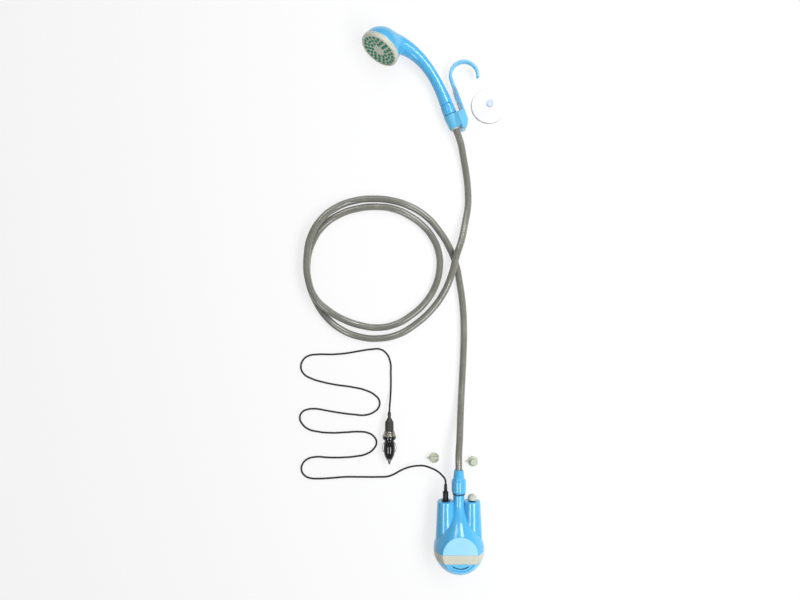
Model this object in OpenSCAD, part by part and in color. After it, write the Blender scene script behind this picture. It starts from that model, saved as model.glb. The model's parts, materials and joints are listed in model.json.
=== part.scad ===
// Portable 12 volt camp shower, laid out on a table.
// The pump lies on its flat back: the table is the plane z = 0 and the pump's axis runs along +Y.

/* [Pump shell] */
// Radius of the bulb
bulb_r = 43; // [41:0.5:46]
// From the pump's axis to its flat front
front_out = 31; // [30:0.5:33]
// From the pump's axis to its flat back
back_out = 30; // [29:0.5:32]
// Wall of the moulded shells
wall = 2.5; // [2:0.1:3]
// Height of the flare between bulb and neck
flare_h = 74; // [70:0.5:78]
// Radius of the neck
neck_r = 9.6; // [9.3:0.1:10.5]
// Height of the neck's shoulder above the bulb's middle
neck_h = 91; // [88:0.5:95]
// From the pump's axis to each tower's axis
tower_x = 22.5; // [22:0.1:24]
// Radius of a tower at its top
tower_r = 14; // [13:0.1:15]
// Radius of a tower at the bulb's middle
tower_foot_r = 17.8; // [17:0.1:18.5]
// Height of the towers above the bulb's middle
tower_h = 80; // [76:0.5:84]
// Thickness of a tower's top
tower_lid = 3; // [2.5:0.1:4]
// From the bulb's middle down to the band
band_drop = 0.2; // [0.1:0.1:2]
// Height of the band
band_h = 15; // [13:0.5:16]
// Thickness of the locating lips on the band
lip_t = 1.6; // [1.2:0.1:2]
// Height of the locating lips on the band
lip_h = 3.5; // [2:0.1:5]
// Thickness of the front panel
panel_t = 1.2; // [0.8:0.1:1.6]
// From the front face's edge in to the panel's edge
panel_in = 1.8; // [1.6:0.1:4]
// Share of the front below the band at which the intake slot lies
slot_share = 0.53; // [0.45:0.01:0.6]
// Width of the intake slot
slot_w = 2; // [1.2:0.1:3]
// From the band's foot down to the intake slot's ends
slot_drop = 3.8; // [3:0.1:5]
// From the front face's edge in to the trim groove
groove_in = 2.7; // [2:0.1:3.5]

/* [Pump works] */
// Radius of the motor
motor_r = 12.2; // [11:0.1:13]
// Length of the motor
motor_len = 31; // [28:0.5:33]
// Wall of the motor can
can_t = 1.4; // [1:0.1:1.8]
// Thickness of the motor's end plate
end_t = 2.5; // [2:0.1:3]
// Thickness of the magnets
magnet_t = 2.2; // [1.6:0.1:3]
// Radius of the motor shaft
shaft_r = 1.15; // [1:0.05:1.6]
// From the motor's axis to its fixing screws
motor_screw_x = 7; // [6.5:0.1:8]
// Thickness of the web that carries the works
web_t = 3; // [2:0.1:4]
// Thickness of the pump plate
plate_t = 3.2; // [3:0.1:4]
// Radius of the shaft seal
seal_r = 4; // [3.5:0.1:4.3]
// Thickness of the O-ring
oring_t = 1.5; // [1.2:0.1:1.8]
// Radius of the impeller
impeller_r = 15; // [13:0.1:16]
// Number of impeller vanes
vane_n = 6; // [4:1:8]
// Thickness of the vanes and the impeller's disc
vane_t = 1.4; // [1:0.1:1.8]
// Height of the pump chamber
chamber_h = 10.5; // [9:0.5:12]
// Gap round the impeller
chamber_gap = 1.5; // [1:0.1:2]
// Wall of the volute
volute_t = 2.2; // [2:0.1:3]
// Radius of the inlet eye
eye_r = 5.5; // [4.5:0.1:6]
// Radius of the strainer basket
strainer_r = 9; // [8:0.1:11]
// Clear space between the strainer basket and the cap
strainer_gap = 2.5; // [2:0.1:4]
// Radius of the outlet pipe
pipe_r = 3.5; // [3.2:0.1:3.8]
// Radius of the outlet pipe's bore
pipe_bore_r = 2.5; // [2:0.1:2.7]
// Radius of the screws
screw_r = 1.5; // [1.2:0.1:1.6]
// Radius of the screw heads
screw_head_r = 2.8; // [2.4:0.1:3]
// Height of the screw heads
screw_head_h = 2; // [1.6:0.1:2.2]

/* [Button and socket] */
// Radius of the rubber push button
button_r = 7.5; // [6.5:0.1:8.5]
// Height of the straight part of the button
button_h = 2.2; // [2:0.1:4]
// Travel of the button
button_travel = 1.6; // [1:0.1:2]
// Radius of the switch's bush
bush_r = 6; // [5:0.1:6.2]
// Length of the switch below the tower's top
switch_len = 20; // [16:0.5:24]
// Radius of the socket's bezel
jack_bezel_r = 7.6; // [7:0.1:8.5]
// Height of the socket's bezel
jack_bezel_h = 1.4; // [1:0.1:2]
// Radius of the socket's threaded barrel
jack_r = 4.5; // [4.2:0.1:5]
// Length of the socket below the tower's top
jack_len = 14; // [13:0.5:16]
// Thickness of the panel nuts
panel_nut_t = 2.6; // [2:0.1:3]

/* [Outlet and hose] */
// Radius of the threaded spigot on the neck
spigot_r = 8; // [7.8:0.1:8.4]
// Length of that spigot
spigot_len = 12; // [10:0.5:14]
// Thickness of the gasket under the nut
gasket_t = 1.6; // [1.2:0.1:2]
// Radius of the outlet nut
nut_r = 12.2; // [12:0.1:13]
// Length of the outlet nut
nut_len = 23; // [21:0.5:25]
// Number of grip grooves on the outlet nut
nut_grooves = 14; // [8:1:18]
// Radius of the hose
hose_r = 6; // [5.5:0.1:6.2]
// Radius of the hose's bore
hose_bore_r = 4; // [3.8:0.1:4.4]
// Radius of the water way in the hose tails
tail_bore_r = 2.8; // [2.4:0.1:3]
// Thickness of the hose tails' flanges
flange_t = 2; // [1.6:0.1:2.4]
// Thickness of the hose washers
washer_t = 1.5; // [1.2:0.1:2]
// Length of each hose tail inside the hose
barb_len = 20; // [16:0.5:21]
// Radius of the hose sleeve in the nut
sleeve_r = 9.8; // [9.4:0.1:10]
// Radius of the hose sleeve at its tip
sleeve_tip_r = 7.9; // [7.4:0.1:9]
// Length of the hose sleeve
sleeve_len = 23; // [21:0.5:25]

/* [Hand shower] */
// Radius of the handle's foot and of the nut below it
grip_r = 11.5; // [11.3:0.1:13]
// Radius that pulls in the handle's waist
waist_pull_r = 6.3; // [6:0.1:7]
// Radius of the handle where it enters the head
crown_r = 16; // [15:0.1:17]
// From the nut's axis across to the middle of the spray face
head_out = 81; // [76:0.5:84]
// From the handle's foot up to the middle of the spray face
head_up = 120; // [116:0.5:126]
// Turn of the spray face's normal from the nut's axis
head_tilt = 126; // [124:1:136]
// Radius of the head's bezel
head_r = 34.5; // [33:0.5:36]
// Depth of the bezel
bezel_h = 9; // [8.5:0.1:11]
// Width of the bezel's front rim
bezel_rim = 3.5; // [2.5:0.1:4]
// Height of the head's domed back
dome_h = 32; // [30:0.1:33]
// Thickness of the spray plate
spray_t = 2.2; // [1.8:0.1:2.4]
// Thickness of the nozzle sheet
sheet_t = 1.3; // [1:0.1:1.6]
// Radius of a nozzle
nozzle_r = 2; // [1.6:0.1:2.2]
// Height of a nozzle in front of the plate
nozzle_h = 1.2; // [1:0.1:2]
// Radius of the inner ring of nozzles
nozzle_ring_r = 13.5; // [13:0.1:14.5]
// Step from one ring of nozzles to the next
nozzle_step = 6.7; // [6:0.1:6.9]
// Radius of the handle's threaded spigot
foot_spigot_r = 9; // [8.7:0.1:9.2]
// Length of the handle's threaded spigot
foot_spigot_len = 9.4; // [8:0.1:11]
// Length of the nut under the handle
foot_nut_len = 20; // [19:0.5:23]
// Radius of the hose cone at its wide end
cone_r = 9.5; // [9.2:0.1:10]
// Radius of the hose cone at the hose
cone_tip_r = 7.3; // [7:0.1:8]
// Length of the hose cone
cone_len = 25.5; // [23:0.5:28]

/* [Holder and suction cup] */
// Half the width of the holder, which lies on its side
holder_half = 15; // [14:0.5:17]
// From the nut's axis to the holder's outer face
holder_out = 24; // [22:0.5:27]
// Thickness of the holder's plate
holder_t = 4; // [3:0.1:5]
// Wall of the holder's collar
collar_t = 2.4; // [2:0.1:3]
// Length of the holder's collar
collar_len = 24; // [20:0.5:25]
// Length of the holder's block
block_len = 30.5; // [27:0.5:34]
// Inner radius of the hook
hook_r = 20.5; // [18:0.5:24]
// Thickness of the hook
hook_t = 6; // [5:0.1:7]
// Width of the hook
hook_w = 9; // [7:0.5:12]
// Angle that the hook spans
hook_angle = 207; // [185:1:225]
// From the handle's foot up to the hook's middle
hook_up = 36; // [32:0.5:42]
// Radius of the suction cup
cup_r = 31; // [28:0.5:34]
// Height of the suction cup without its knob
cup_h = 9; // [8:0.5:11]
// Radius of the suction cup's knob
knob_r = 7; // [6:0.1:8]
// Height of the knob
knob_h = 7.5; // [6:0.1:9]
// Radius of the neck under the knob
knob_neck_r = 3.2; // [2.8:0.1:4]

/* [Lead] */
// Radius of the cable
cable_r = 1.6; // [1.4:0.1:1.9]
// Radius of the DC plug's moulded body
dc_r = 5; // [4.4:0.1:5.4]
// Length of the DC plug's moulded body
dc_len = 14.6; // [12:0.5:16]
// Length of the DC plug's strain relief
dc_relief_len = 12; // [10:0.5:14]
// Radius of the DC plug's metal sleeve
dc_sleeve_r = 2.75; // [2.5:0.05:3]
// Length of the DC plug's metal sleeve
dc_sleeve_len = 9.5; // [8:0.5:11]

/* [Car plug] */
// Radius of the barrel
car_r = 9.8; // [9.6:0.1:10.4]
// Radius of the flange
car_flange_r = 11.6; // [11:0.1:13]
// Length of the body from its nose to its flange
car_body_len = 38.5; // [37:0.5:42]
// Radius of the body's nose
car_nose_r = 6.2; // [6:0.1:7]
// Length of the bright nose cap
car_cap_len = 3; // [2.5:0.1:4]
// Length of the tip in front of the nose cap
car_tip_len = 8; // [7:0.5:10]
// Radius of the tip
car_tip_r = 3.4; // [3:0.1:3.8]
// Travel of the tip
car_tip_travel = 3; // [2:0.1:4]
// Reach of each side contact from the plug's axis
contact_out = 12.4; // [11.5:0.1:13]
// Width of a side contact
contact_w = 4.4; // [3:0.1:5]
// Travel of a side contact
contact_travel = 2; // [1:0.1:2.2]
// Radius of the fuse
fuse_r = 3.1; // [2.5:0.1:3.4]
// Length of the bright ring
car_ring_len = 8.5; // [7:0.5:10]
// Radius of the grip
car_grip_r = 7.5; // [7:0.1:9]
// Length of the grip
car_grip_len = 22; // [18:0.5:26]
// Length of the grip's strain relief
car_relief_len = 11; // [9:0.5:13]

/* [Rubber port plugs] */
// Radius of a port plug's head
port_r = 9; // [8:0.1:10]
// Thickness of a port plug's head
port_t = 3; // [2.5:0.1:4]
// Radius of a port plug's stem
port_stem_r = 5.2; // [4.5:0.1:6]
// Length of a port plug's stem
port_stem_len = 6; // [5:0.5:8]
// Height of the finger ridge
port_ridge_h = 3; // [2:0.1:4]

/* [Clearances] */
// Gap between pieces that turn or slide on each other
fit = 0.3; // [0.2:0.05:0.4]
// Radial clearance of the shaft in its bearings
run_fit = 0.05; // [0.02:0.01:0.1]

/* [Hidden] */
$fn = 72;

blue = [0.36, 0.75, 0.96];
pale_blue = [0.64, 0.89, 1];
cap_blue = [0.2, 0.66, 0.8];
stone_grey = [0.83, 0.86, 0.8];
hose_grey = [0.52, 0.52, 0.49];
rubber_grey = [0.66, 0.69, 0.62];
teal = [0.1, 0.55, 0.42];
black = [0.08, 0.08, 0.08];
dark_grey = [0.28, 0.29, 0.27];
bright_metal = [0.86, 0.86, 0.84];
steel = [0.6, 0.6, 0.62];
brass = [0.78, 0.62, 0.3];
clear_white = [0.93, 0.95, 0.98];

// Length that carries a cut past a face
eps = 0.5;
// Gap round a screw, bush or pipe in its hole
snug = 0.1;
// Gap round a piece that is pressed on
press_gap = 0.02;
// Thickness of the shoulder that holds a hose tail in the outlet nut
shoulder_t = 2.5;

// Levels along the pump's axis, measured from the bulb's middle towards the neck
band_top = -band_drop;
band_foot = band_top - band_h;
web_foot = band_foot + 3;
web_top = web_foot + web_t;
plate_foot = web_foot - plate_t;
flange_foot = plate_foot - volute_t;
chamber_foot = plate_foot - chamber_h;
volute_foot = chamber_foot - volute_t;
motor_top = web_foot + motor_len;
outlet_nut_foot = neck_h + gasket_t + fit;
pump_washer_foot = neck_h + spigot_len;
pump_flange_foot = pump_washer_foot + washer_t;
pump_flange_top = pump_flange_foot + flange_t;
outlet_nut_top = outlet_nut_foot + nut_len;
nut_shoulder = pump_flange_top + fit;
sleeve_foot = nut_shoulder + shoulder_t + fit;
sleeve_top = sleeve_foot + sleeve_len;
jack_top = tower_h + jack_bezel_h;
dc_top = jack_top + dc_len;
button_foot = tower_h + button_travel + fit;

// Sizes of the pump that follow from the driving ones
face_r = sqrt(pow(bulb_r, 2) - pow(front_out, 2));
slot_r = -band_foot + slot_share * (face_r + band_foot);
slot_half = acos((slot_drop - band_foot) / slot_r);
groove_r = face_r - groove_in;
groove_half = acos((1.4 - band_foot) / groove_r);
strainer_foot = strainer_gap - sqrt(pow(bulb_r - wall, 2) - pow(strainer_r, 2));
pipe_y = motor_r + pipe_r + 0.7;
oring_r = pipe_y + pipe_r + oring_t / 2 + 1;
plate_r = oring_r + oring_t / 2 + 1.1;
lug_r = screw_head_r + 1.7;
lug_at = plate_r + 2.5;
lug_boss_h = 4;
lug_angles = [20, 160, 200, 340];
pillar_r = screw_r + 2.5;
pillar_at = bulb_r - wall - 7.1;
pillar_h = 12;
pillar_angles = [39, 141, 219, 321];
chamber_r = impeller_r + chamber_gap;
pipe_elbow_low = motor_top + pipe_r + 1;
pipe_elbow_high = pipe_elbow_low + 1.25 * pipe_y;
pipe_bend = 3;
flare_inside_h = pipe_elbow_high + pipe_bend + 2 * fit;
tail_r = hose_bore_r + 0.15;
flange_r = spigot_r - 0.4;
tail_neck_r = hose_r + 0.6;
hose_seat_r = hose_r + 0.05;

// Levels along the hand shower's nut axis, measured from the handle's foot towards the head
foot_flange_top = -(foot_spigot_len + fit + washer_t);
foot_flange_foot = foot_flange_top - flange_t;
foot_nut_foot = -foot_nut_len;
cone_top = foot_nut_foot - 2 * fit;
cone_foot = cone_top - cone_len;
hose_stop = cone_top - 2;
collar_top = foot_nut_foot - fit;
collar_foot = collar_top - collar_len;
block_foot = collar_top - block_len;

// Where the hand shower lies, which way its nut points, and how far the head rolls up to rest on its rim
shower_turn = 21;
shower_at = [-20, 758, holder_half];
rim_reach = head_out - bezel_h * sin(head_tilt);
first_roll = asin((head_r - holder_half) / rim_reach);
rim_drop = head_r * sqrt(1 - pow(sin(head_tilt) * sin(first_roll), 2));
handset_roll = asin((rim_drop - holder_half + fit) / rim_reach);
dome_r = (pow(head_r - 0.5, 2) + pow(dome_h, 2)) / (2 * dome_h);
dome_back = -(bezel_h + 0.2 + dome_h);
plate_in_head = -1.3;
sheet_in_head = plate_in_head - spray_t - 0.1;
shell_in_head = sheet_in_head - sheet_t - 0.3;
bezel_bore_r = head_r - 2.6;
hook_x = holder_out - holder_t + hook_t + hook_r;

// Where the loose pieces lie
cup_at = [55, 760, 0];
port_left_at = [-40.5, 147, 0];
port_right_at = [27, 140, 0];
car_at = [-118.5, 136.5, car_flange_r];

// Levels along the car plug, measured from its tip
car_cap_foot = car_tip_len;
car_body_foot = car_cap_foot + car_cap_len;
car_body_top = car_body_foot + car_body_len;
car_ring_top = car_body_top + car_ring_len;
car_grip_top = car_ring_top + car_grip_len;
car_top = car_grip_top + car_relief_len;
car_cavity_r = car_tip_r + 1.3;
cap_t = 2.2;
tip_collar_t = 2;
collar_seat = car_cap_foot + cap_t + fit;
spring_foot = collar_seat + tip_collar_t + car_tip_travel + fit;
spring_len = 6;
fuse_foot = spring_foot + spring_len;
contact_mid = car_body_foot + 18.5;
contact_half = 9.5;
contact_sag = 4.2;
contact_arc_r = (pow(contact_half, 2) + pow(contact_sag, 2)) / (2 * contact_sag);
contact_in = contact_out - contact_sag;

// Free run of the hose, from the pump's sleeve to the cone, as it lies in its two loose turns
hose_free = [
    [0, 157, 29], [2, 182, 24], [4, 214, 15], [6, 247, 8.5], [8, 282, 6.5], [10, 325, 6.5], [11, 369, 6.5],
    [9, 412, 6.5], [4, 449, 6.5], [-3, 484, 6.5], [-14, 512, 6.5], [-31, 540, 6.5], [-53, 565, 6.5],
    [-83, 584, 6.5], [-114, 594, 6.5], [-145, 597, 6.5], [-176, 594, 8], [-207, 583, 12],
    [-234, 562, 17], [-253, 531, 20], [-260, 495, 20], [-258, 457, 20], [-245, 424, 20], [-222, 402, 17],
    [-195, 386, 11], [-169, 377, 7.5], [-141, 373, 6.5], [-110, 378, 6.5], [-81, 394, 6.5],
    [-55, 418, 6.5], [-38, 447, 6.5], [-31, 477, 6.5], [-33, 505, 6.5], [-43, 529, 6.5], [-60, 550, 6.5],
    [-83, 567, 6.5], [-110, 579, 6.5], [-142, 583, 6.5], [-173, 580, 6.5], [-204, 570, 6.5],
    [-232, 551, 6.5], [-251, 524, 6.5], [-261, 487, 6.5], [-258, 449, 6.5], [-246, 418, 6.5],
    [-227, 390, 6.5], [-201, 369, 6.5], [-170, 357, 6.5], [-138, 354, 6.5], [-103, 361, 6.5],
    [-74, 378, 6.5], [-46, 403, 8.5], [-24, 434, 13], [-11, 466, 18.5], [-3, 497, 20.5], [6, 524, 17],
    [13, 556, 11], [18, 584, 7.5], [18, 612, 6.5], [15, 640, 7], [10, 668, 9], [5, 692, 12.5]
];

// Free run of the cable, from the DC plug to the car plug, as it lies in its flat folds
cable_free = [
    [-23, 115, 30], [-28, 122, 28], [-37, 129, 25], [-48, 133, 20], [-59, 135, 15], [-69, 134, 11],
    [-79, 132, 8], [-90, 128, 5], [-100, 123, 3], [-110, 117, 2], [-121, 113, 2], [-138, 112, 2],
    [-170, 112, 2], [-196, 112, 2], [-222, 110, 2], [-243, 109, 2], [-257, 110, 2], [-267, 115, 2],
    [-272, 124, 2], [-270, 135, 2], [-262, 143, 2], [-247, 147, 2], [-226, 146, 2], [-201, 146, 2],
    [-177, 148, 2], [-159, 152, 2], [-146, 161, 2], [-141, 172, 2], [-145, 182, 2], [-156, 189, 2],
    [-173, 191, 2], [-194, 190, 2], [-219, 189, 2], [-243, 191, 2], [-261, 196, 2], [-271, 205, 2],
    [-275, 215, 2], [-271, 225, 2], [-261, 230, 2], [-247, 231, 2], [-229, 228, 2], [-205, 224, 2],
    [-180, 221, 2], [-161, 220, 2], [-146, 225, 2], [-137, 234, 2], [-136, 245, 2], [-144, 255, 2],
    [-159, 263, 2], [-184, 269, 2], [-212, 273, 2], [-236, 278, 2], [-255, 284, 2], [-268, 292, 2],
    [-273, 303, 2], [-270, 315, 2], [-261, 323, 2], [-243, 326, 2], [-219, 326, 2], [-194, 328, 2],
    [-170, 332, 2], [-149, 335, 2], [-135, 335, 2], [-124, 328, 2], [-117, 313, 2], [-116, 292, 2],
    [-116, 267, 2.5], [-117, 248, 6], [-118, 237, 9.5]
];

// Wires in the pump, from the socket's and the switch's terminals to the motor, in the pump's upright frame
wire_r = 0.8;
terminal_x = 2;
terminal_len = 3;
wire_ends = [[-tower_x + terminal_x, tower_h - jack_len], [tower_x - terminal_x, tower_h - switch_len]];
wire_routes = [for (end = wire_ends) let (side = sign(end[0])) [
    [end[0], -1, end[1] - terminal_len - fit], [end[0], -3, end[1] - 14], [side * 16, -6, motor_top + 18],
    [side * 8, -7, motor_top + 9], [side * 5, -5, motor_top + fit]
]];

// Outer radius of the flare at a height above the bulb's middle
function flare_r(z) = neck_r + (bulb_r - neck_r) * (1 + cos(180 * min(1, max(0, z / flare_h)))) / 2;

// A point of the hand shower's nut axis in the layout's frame
function on_nut_axis(z) = shower_at + z * [-sin(shower_turn), cos(shower_turn), 0];

// Middle of the handle and its radius, from the foot (0) to the head (1)
grip_bends = [[0, 0], [0, 50], [-7, 98], [-(head_out - 33), head_up + 6]];
function grip_at(t) = pow(1 - t, 3) * grip_bends[0] + 3 * t * pow(1 - t, 2) * grip_bends[1]
    + 3 * t * t * (1 - t) * grip_bends[2] + pow(t, 3) * grip_bends[3];
function grip_radius(t) = pow(1 - t, 2) * grip_r + 2 * t * (1 - t) * waist_pull_r + t * t * crown_r;

function unit(v) = v / norm(v);
function heading(p, i) = unit(p[min(i + 1, len(p) - 1)] - p[max(i - 1, 0)]);

// One ring of a swept tube, square to its route
function ring(p, i, r, sides, up) =
    let (t = heading(p, i), s = unit(cross(t, up)), u = cross(s, t))
    [for (k = [0:sides - 1]) p[i] + r * (cos(360 * k / sides) * s + sin(360 * k / sides) * u)];

// Least distance between two straight stretches
function clamp01(x) = max(0, min(1, x));
function stretch_gap(a, b, c, d) =
    let (
        u = b - a, v = d - c, w = a - c,
        uu = u * u, vv = v * v, uv = u * v, uw = u * w, vw = v * w,
        det = uu * vv - uv * uv,
        s0 = det < 0.001 ? 0 : clamp01((uv * vw - vv * uw) / det),
        t0 = clamp01((uv * s0 + vw) / vv),
        s1 = clamp01((uv * t0 - uw) / uu)
    )
    norm(a + s1 * u - c - t0 * v);

// Least gap that a tube of radius r leaves to itself, past its nearest neighbours along the route
function least_gap(p, r, skip) = min([
    for (i = [0:len(p) - 2], j = [i + skip:1:len(p) - 2]) stretch_gap(p[i], p[i + 1], p[j], p[j + 1])
]) - 2 * r;

// Solid tube along a route
module sweep(p, r, sides, up = [0, 0, 1]) {
    n = len(p);
    polyhedron(
        points = [for (i = [0:n - 1]) each ring(p, i, r, sides, up)],
        faces = concat(
            [for (k = [1:sides - 2]) [0, k + 1, k]],
            [for (i = [0:n - 2], k = [0:sides - 1], half = [0, 1])
                let (a = i * sides + k, b = i * sides + (k + 1) % sides)
                half == 0 ? [a, b, b + sides] : [a, b + sides, a + sides]],
            [for (k = [1:sides - 2]) (n - 1) * sides * [1, 1, 1] + [0, k, k + 1]]
        )
    );
}

// Tube with a bore along a route
module hollow_sweep(p, r, bore_r, sides, up = [0, 0, 1]) {
    n = len(p);
    inner = n * sides;
    last = (n - 1) * sides;
    polyhedron(
        points = concat(
            [for (i = [0:n - 1]) each ring(p, i, r, sides, up)],
            [for (i = [0:n - 1]) each ring(p, i, bore_r, sides, up)]
        ),
        faces = [
            for (i = [0:n - 2], k = [0:sides - 1])
                let (a = i * sides + k, b = i * sides + (k + 1) % sides)
                each [
                    [a, b, b + sides], [a, b + sides, a + sides],
                    inner * [1, 1, 1] + [a, b + sides, b], inner * [1, 1, 1] + [a, a + sides, b + sides]
                ],
            for (k = [0:sides - 1])
                let (b = (k + 1) % sides)
                each [
                    [k, inner + b, b], [k, inner + k, inner + b],
                    last * [1, 1, 1] + [k, b, inner + b], last * [1, 1, 1] + [k, inner + b, inner + k]
                ]
        ]
    );
}

module tube(r_out, r_in, z0, z1) {
    difference() {
        translate([0, 0, z0]) cylinder(r = r_out, h = z1 - z0);
        translate([0, 0, z0 - eps]) cylinder(r = r_in, h = z1 - z0 + 2 * eps);
    }
}

module rod(r, z0, z1) {
    translate([0, 0, z0]) cylinder(r = r, h = z1 - z0);
}

// Copies at the same distance from the axis
module around(distance, angles) {
    for (a = angles) rotate([0, 0, a]) translate([distance, 0, 0]) children();
}

// Pan-headed screw: its head hangs below z = 0 and its shank stands above
module pan_screw(r, head_r, head_h, shank) {
    difference() {
        union() {
            rod(head_r, -head_h, 0);
            rod(r, -head_h / 2, shank);
        }
        for (turn = [0, 90]) rotate([0, 0, turn])
            translate([-head_r * 0.6, -0.3, -head_h - eps]) cube([head_r * 1.2, 0.6, head_h / 2 + eps]);
    }
}

// Stands the upright pump down on its back
module on_pump() {
    translate([0, 0, back_out]) rotate([-90, 0, 0]) children();
}

// Lays the upright hand shower along its nut axis, rolled by an angle
module on_shower(roll) {
    translate(shower_at) rotate([0, 0, shower_turn]) rotate([0, roll, 0]) rotate([-90, 0, 0]) children();
}

// From the handset's frame to its head: +z points out of the spray face
module on_head() {
    translate([-head_out, 0, head_up]) rotate([0, -head_tilt, 0]) children();
}

module on_car_plug() {
    translate(car_at) rotate([-90, 0, 0]) children();
}

// Space between the pump's flat front and flat back
module between_flats(shrink) {
    depth = front_out + back_out - 2 * shrink;
    translate([-2 * bulb_r, shrink - front_out, -2 * bulb_r]) cube([4 * bulb_r, depth, 6 * bulb_r]);
}

// Bulb between its flats, drawn in by a distance
module bulb(shrink) {
    intersection() {
        sphere(r = bulb_r - shrink);
        between_flats(shrink);
    }
}

module slab(z0, z1) {
    translate([-2 * bulb_r, -2 * bulb_r, z0]) cube([4 * bulb_r, 4 * bulb_r, z1 - z0]);
}

// Turned flare between its flats, drawn in by a distance
module flare(shrink, z0, z1) {
    steps = 16;
    levels = [for (i = [0:steps]) z1 * i / steps];
    intersection() {
        rotate_extrude()
            polygon(concat(
                [[0, z0], [bulb_r - shrink, z0]],
                [for (z = levels) [flare_r(z) - shrink, z]],
                [[0, z1]]
            ));
        between_flats(shrink);
    }
}

// Disc in the plane of the flat front, measured inwards from it
module front_disc(r, depth, proud = 0) {
    translate([0, -front_out - proud, 0]) rotate([-90, 0, 0]) cylinder(r = r, h = depth + proud);
}

// Ring sector in the plane of the flat front, centred on its lowest point
module front_arc(r, width, half, depth) {
    translate([0, -front_out + depth, 0]) rotate([90, 0, 0]) rotate([0, 0, 270 - half])
        rotate_extrude(angle = 2 * half) translate([r - width / 2, 0]) square([width, depth + eps]);
}

module pump_body() {
    color(blue) on_pump() difference() {
        union() {
            flare(0, band_top, neck_h);
            intersection() {
                front_disc(face_r - 0.8, front_out - neck_r);
                slab(band_top, bulb_r);
            }
            for (side = [-1, 1]) translate([side * tower_x, 0, 0]) {
                cylinder(r1 = tower_foot_r, r2 = tower_r, h = tower_h - 1);
                translate([0, 0, tower_h - 1]) cylinder(r1 = tower_r, r2 = tower_r - 1, h = 1);
            }
            rod(spigot_r, neck_h - 1, neck_h + spigot_len);
        }
        difference() {
            union() {
                flare(wall, band_top - eps, flare_inside_h);
                for (side = [-1, 1]) translate([side * tower_x, 0, 0])
                    cylinder(r1 = tower_foot_r - wall, r2 = tower_r - wall, h = tower_h - tower_lid);
            }
            around(pillar_at, pillar_angles) rod(pillar_r, band_top, pillar_h);
        }
        around(pillar_at, pillar_angles) rod(screw_r + snug, band_top - eps, pillar_h - 2);
        rod(pipe_r + snug, flare_inside_h - eps, neck_h + spigot_len + eps);
        translate([-tower_x, 0, 0]) rod(jack_r + snug, tower_h - tower_lid - eps, tower_h + eps);
        translate([tower_x, 0, 0]) rod(bush_r + snug, tower_h - tower_lid - eps, tower_h + eps);
        intersection() {
            front_disc(face_r - panel_in, panel_t, eps);
            slab(band_top - eps, bulb_r);
        }
    }
}

module front_panel() {
    color(pale_blue) on_pump() intersection() {
        front_disc(face_r - panel_in - 0.1, panel_t);
        slab(band_top, bulb_r);
    }
}

module band_ring() {
    color(stone_grey) on_pump() difference() {
        union() {
            difference() {
                intersection() {
                    bulb(0);
                    slab(band_foot, band_top);
                }
                intersection() {
                    bulb(wall);
                    union() {
                        slab(web_top, band_top + eps);
                        slab(band_foot - eps, web_foot);
                    }
                }
            }
            for (span = [[band_top - 1, band_top + lip_h], [band_foot - lip_h, band_foot + 1]]) difference() {
                intersection() {
                    bulb(wall + fit);
                    slab(span[0], span[1]);
                }
                bulb(wall + fit + lip_t);
            }
            for (level = [band_top - 0.9, band_foot + 0.1]) intersection() {
                difference() {
                    bulb(wall - 0.2);
                    bulb(wall + fit + 0.2);
                }
                slab(level, level + 0.8);
            }
            around(pillar_at, pillar_angles) rod(pillar_r, web_top - 1, band_top);
            around(lug_at, lug_angles) rod(pillar_r, web_top - 1, web_top + lug_boss_h);
        }
        rod(motor_r + fit, web_foot - eps, web_top + eps);
        translate([0, pipe_y, 0]) rod(pipe_r + fit, web_foot - eps, web_top + eps);
        around(pillar_at, pillar_angles) rod(screw_r + snug, web_foot - eps, band_top + eps);
        around(lug_at, lug_angles) rod(screw_r + snug, web_foot - eps, web_top + lug_boss_h - 1);
    }
}

module body_screws() {
    color(steel) on_pump() around(pillar_at, pillar_angles)
        translate([0, 0, web_foot]) pan_screw(screw_r, screw_head_r, screw_head_h, pillar_h - 4 - web_foot);
}

module motor_can() {
    color(steel) on_pump() difference() {
        rod(motor_r, web_foot + end_t, motor_top);
        rod(motor_r - can_t, web_foot + end_t - eps, motor_top - can_t);
        rod(shaft_r + run_fit, motor_top - can_t - eps, motor_top + eps);
    }
}

module motor_end() {
    color(black) on_pump() difference() {
        rod(motor_r, web_foot, web_foot + end_t);
        rod(shaft_r + run_fit, web_foot - eps, web_foot + end_t + eps);
        for (side = [-1, 1]) translate([side * motor_screw_x, 0, 0])
            rod(screw_r + snug, web_foot - eps, web_foot + end_t + eps);
    }
}

module motor_magnets() {
    color(dark_grey) on_pump() for (start = [25, 205]) rotate([0, 0, start])
        rotate_extrude(angle = 130)
            translate([motor_r - can_t - magnet_t, web_foot + end_t + 2])
                square([magnet_t - 0.1, motor_len - end_t - can_t - 4]);
}

module motor_armature() {
    color(brass) on_pump() difference() {
        rod(motor_r - can_t - magnet_t - 0.4, web_foot + end_t + 3, motor_top - can_t - 3);
        rod(shaft_r + press_gap, web_foot, motor_top);
    }
}

module motor_shaft() {
    color(steel) on_pump() rod(shaft_r, chamber_foot + 1, motor_top + 1.5);
}

module motor_screws() {
    color(steel) on_pump() for (side = [-1, 1])
        translate([side * motor_screw_x, 0, plate_foot + 1.4])
            pan_screw(screw_r, screw_r + 0.6, 1.2, plate_t - 1.4 + end_t);
}

// Round plate with four screw lugs
module lugged_plate(z0, z1) {
    difference() {
        union() {
            rod(plate_r, z0, z1);
            around(lug_at, lug_angles) rod(lug_r, z0, z1);
        }
        around(lug_at, lug_angles) rod(screw_r + snug, z0 - eps, z1 + eps);
    }
}

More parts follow.
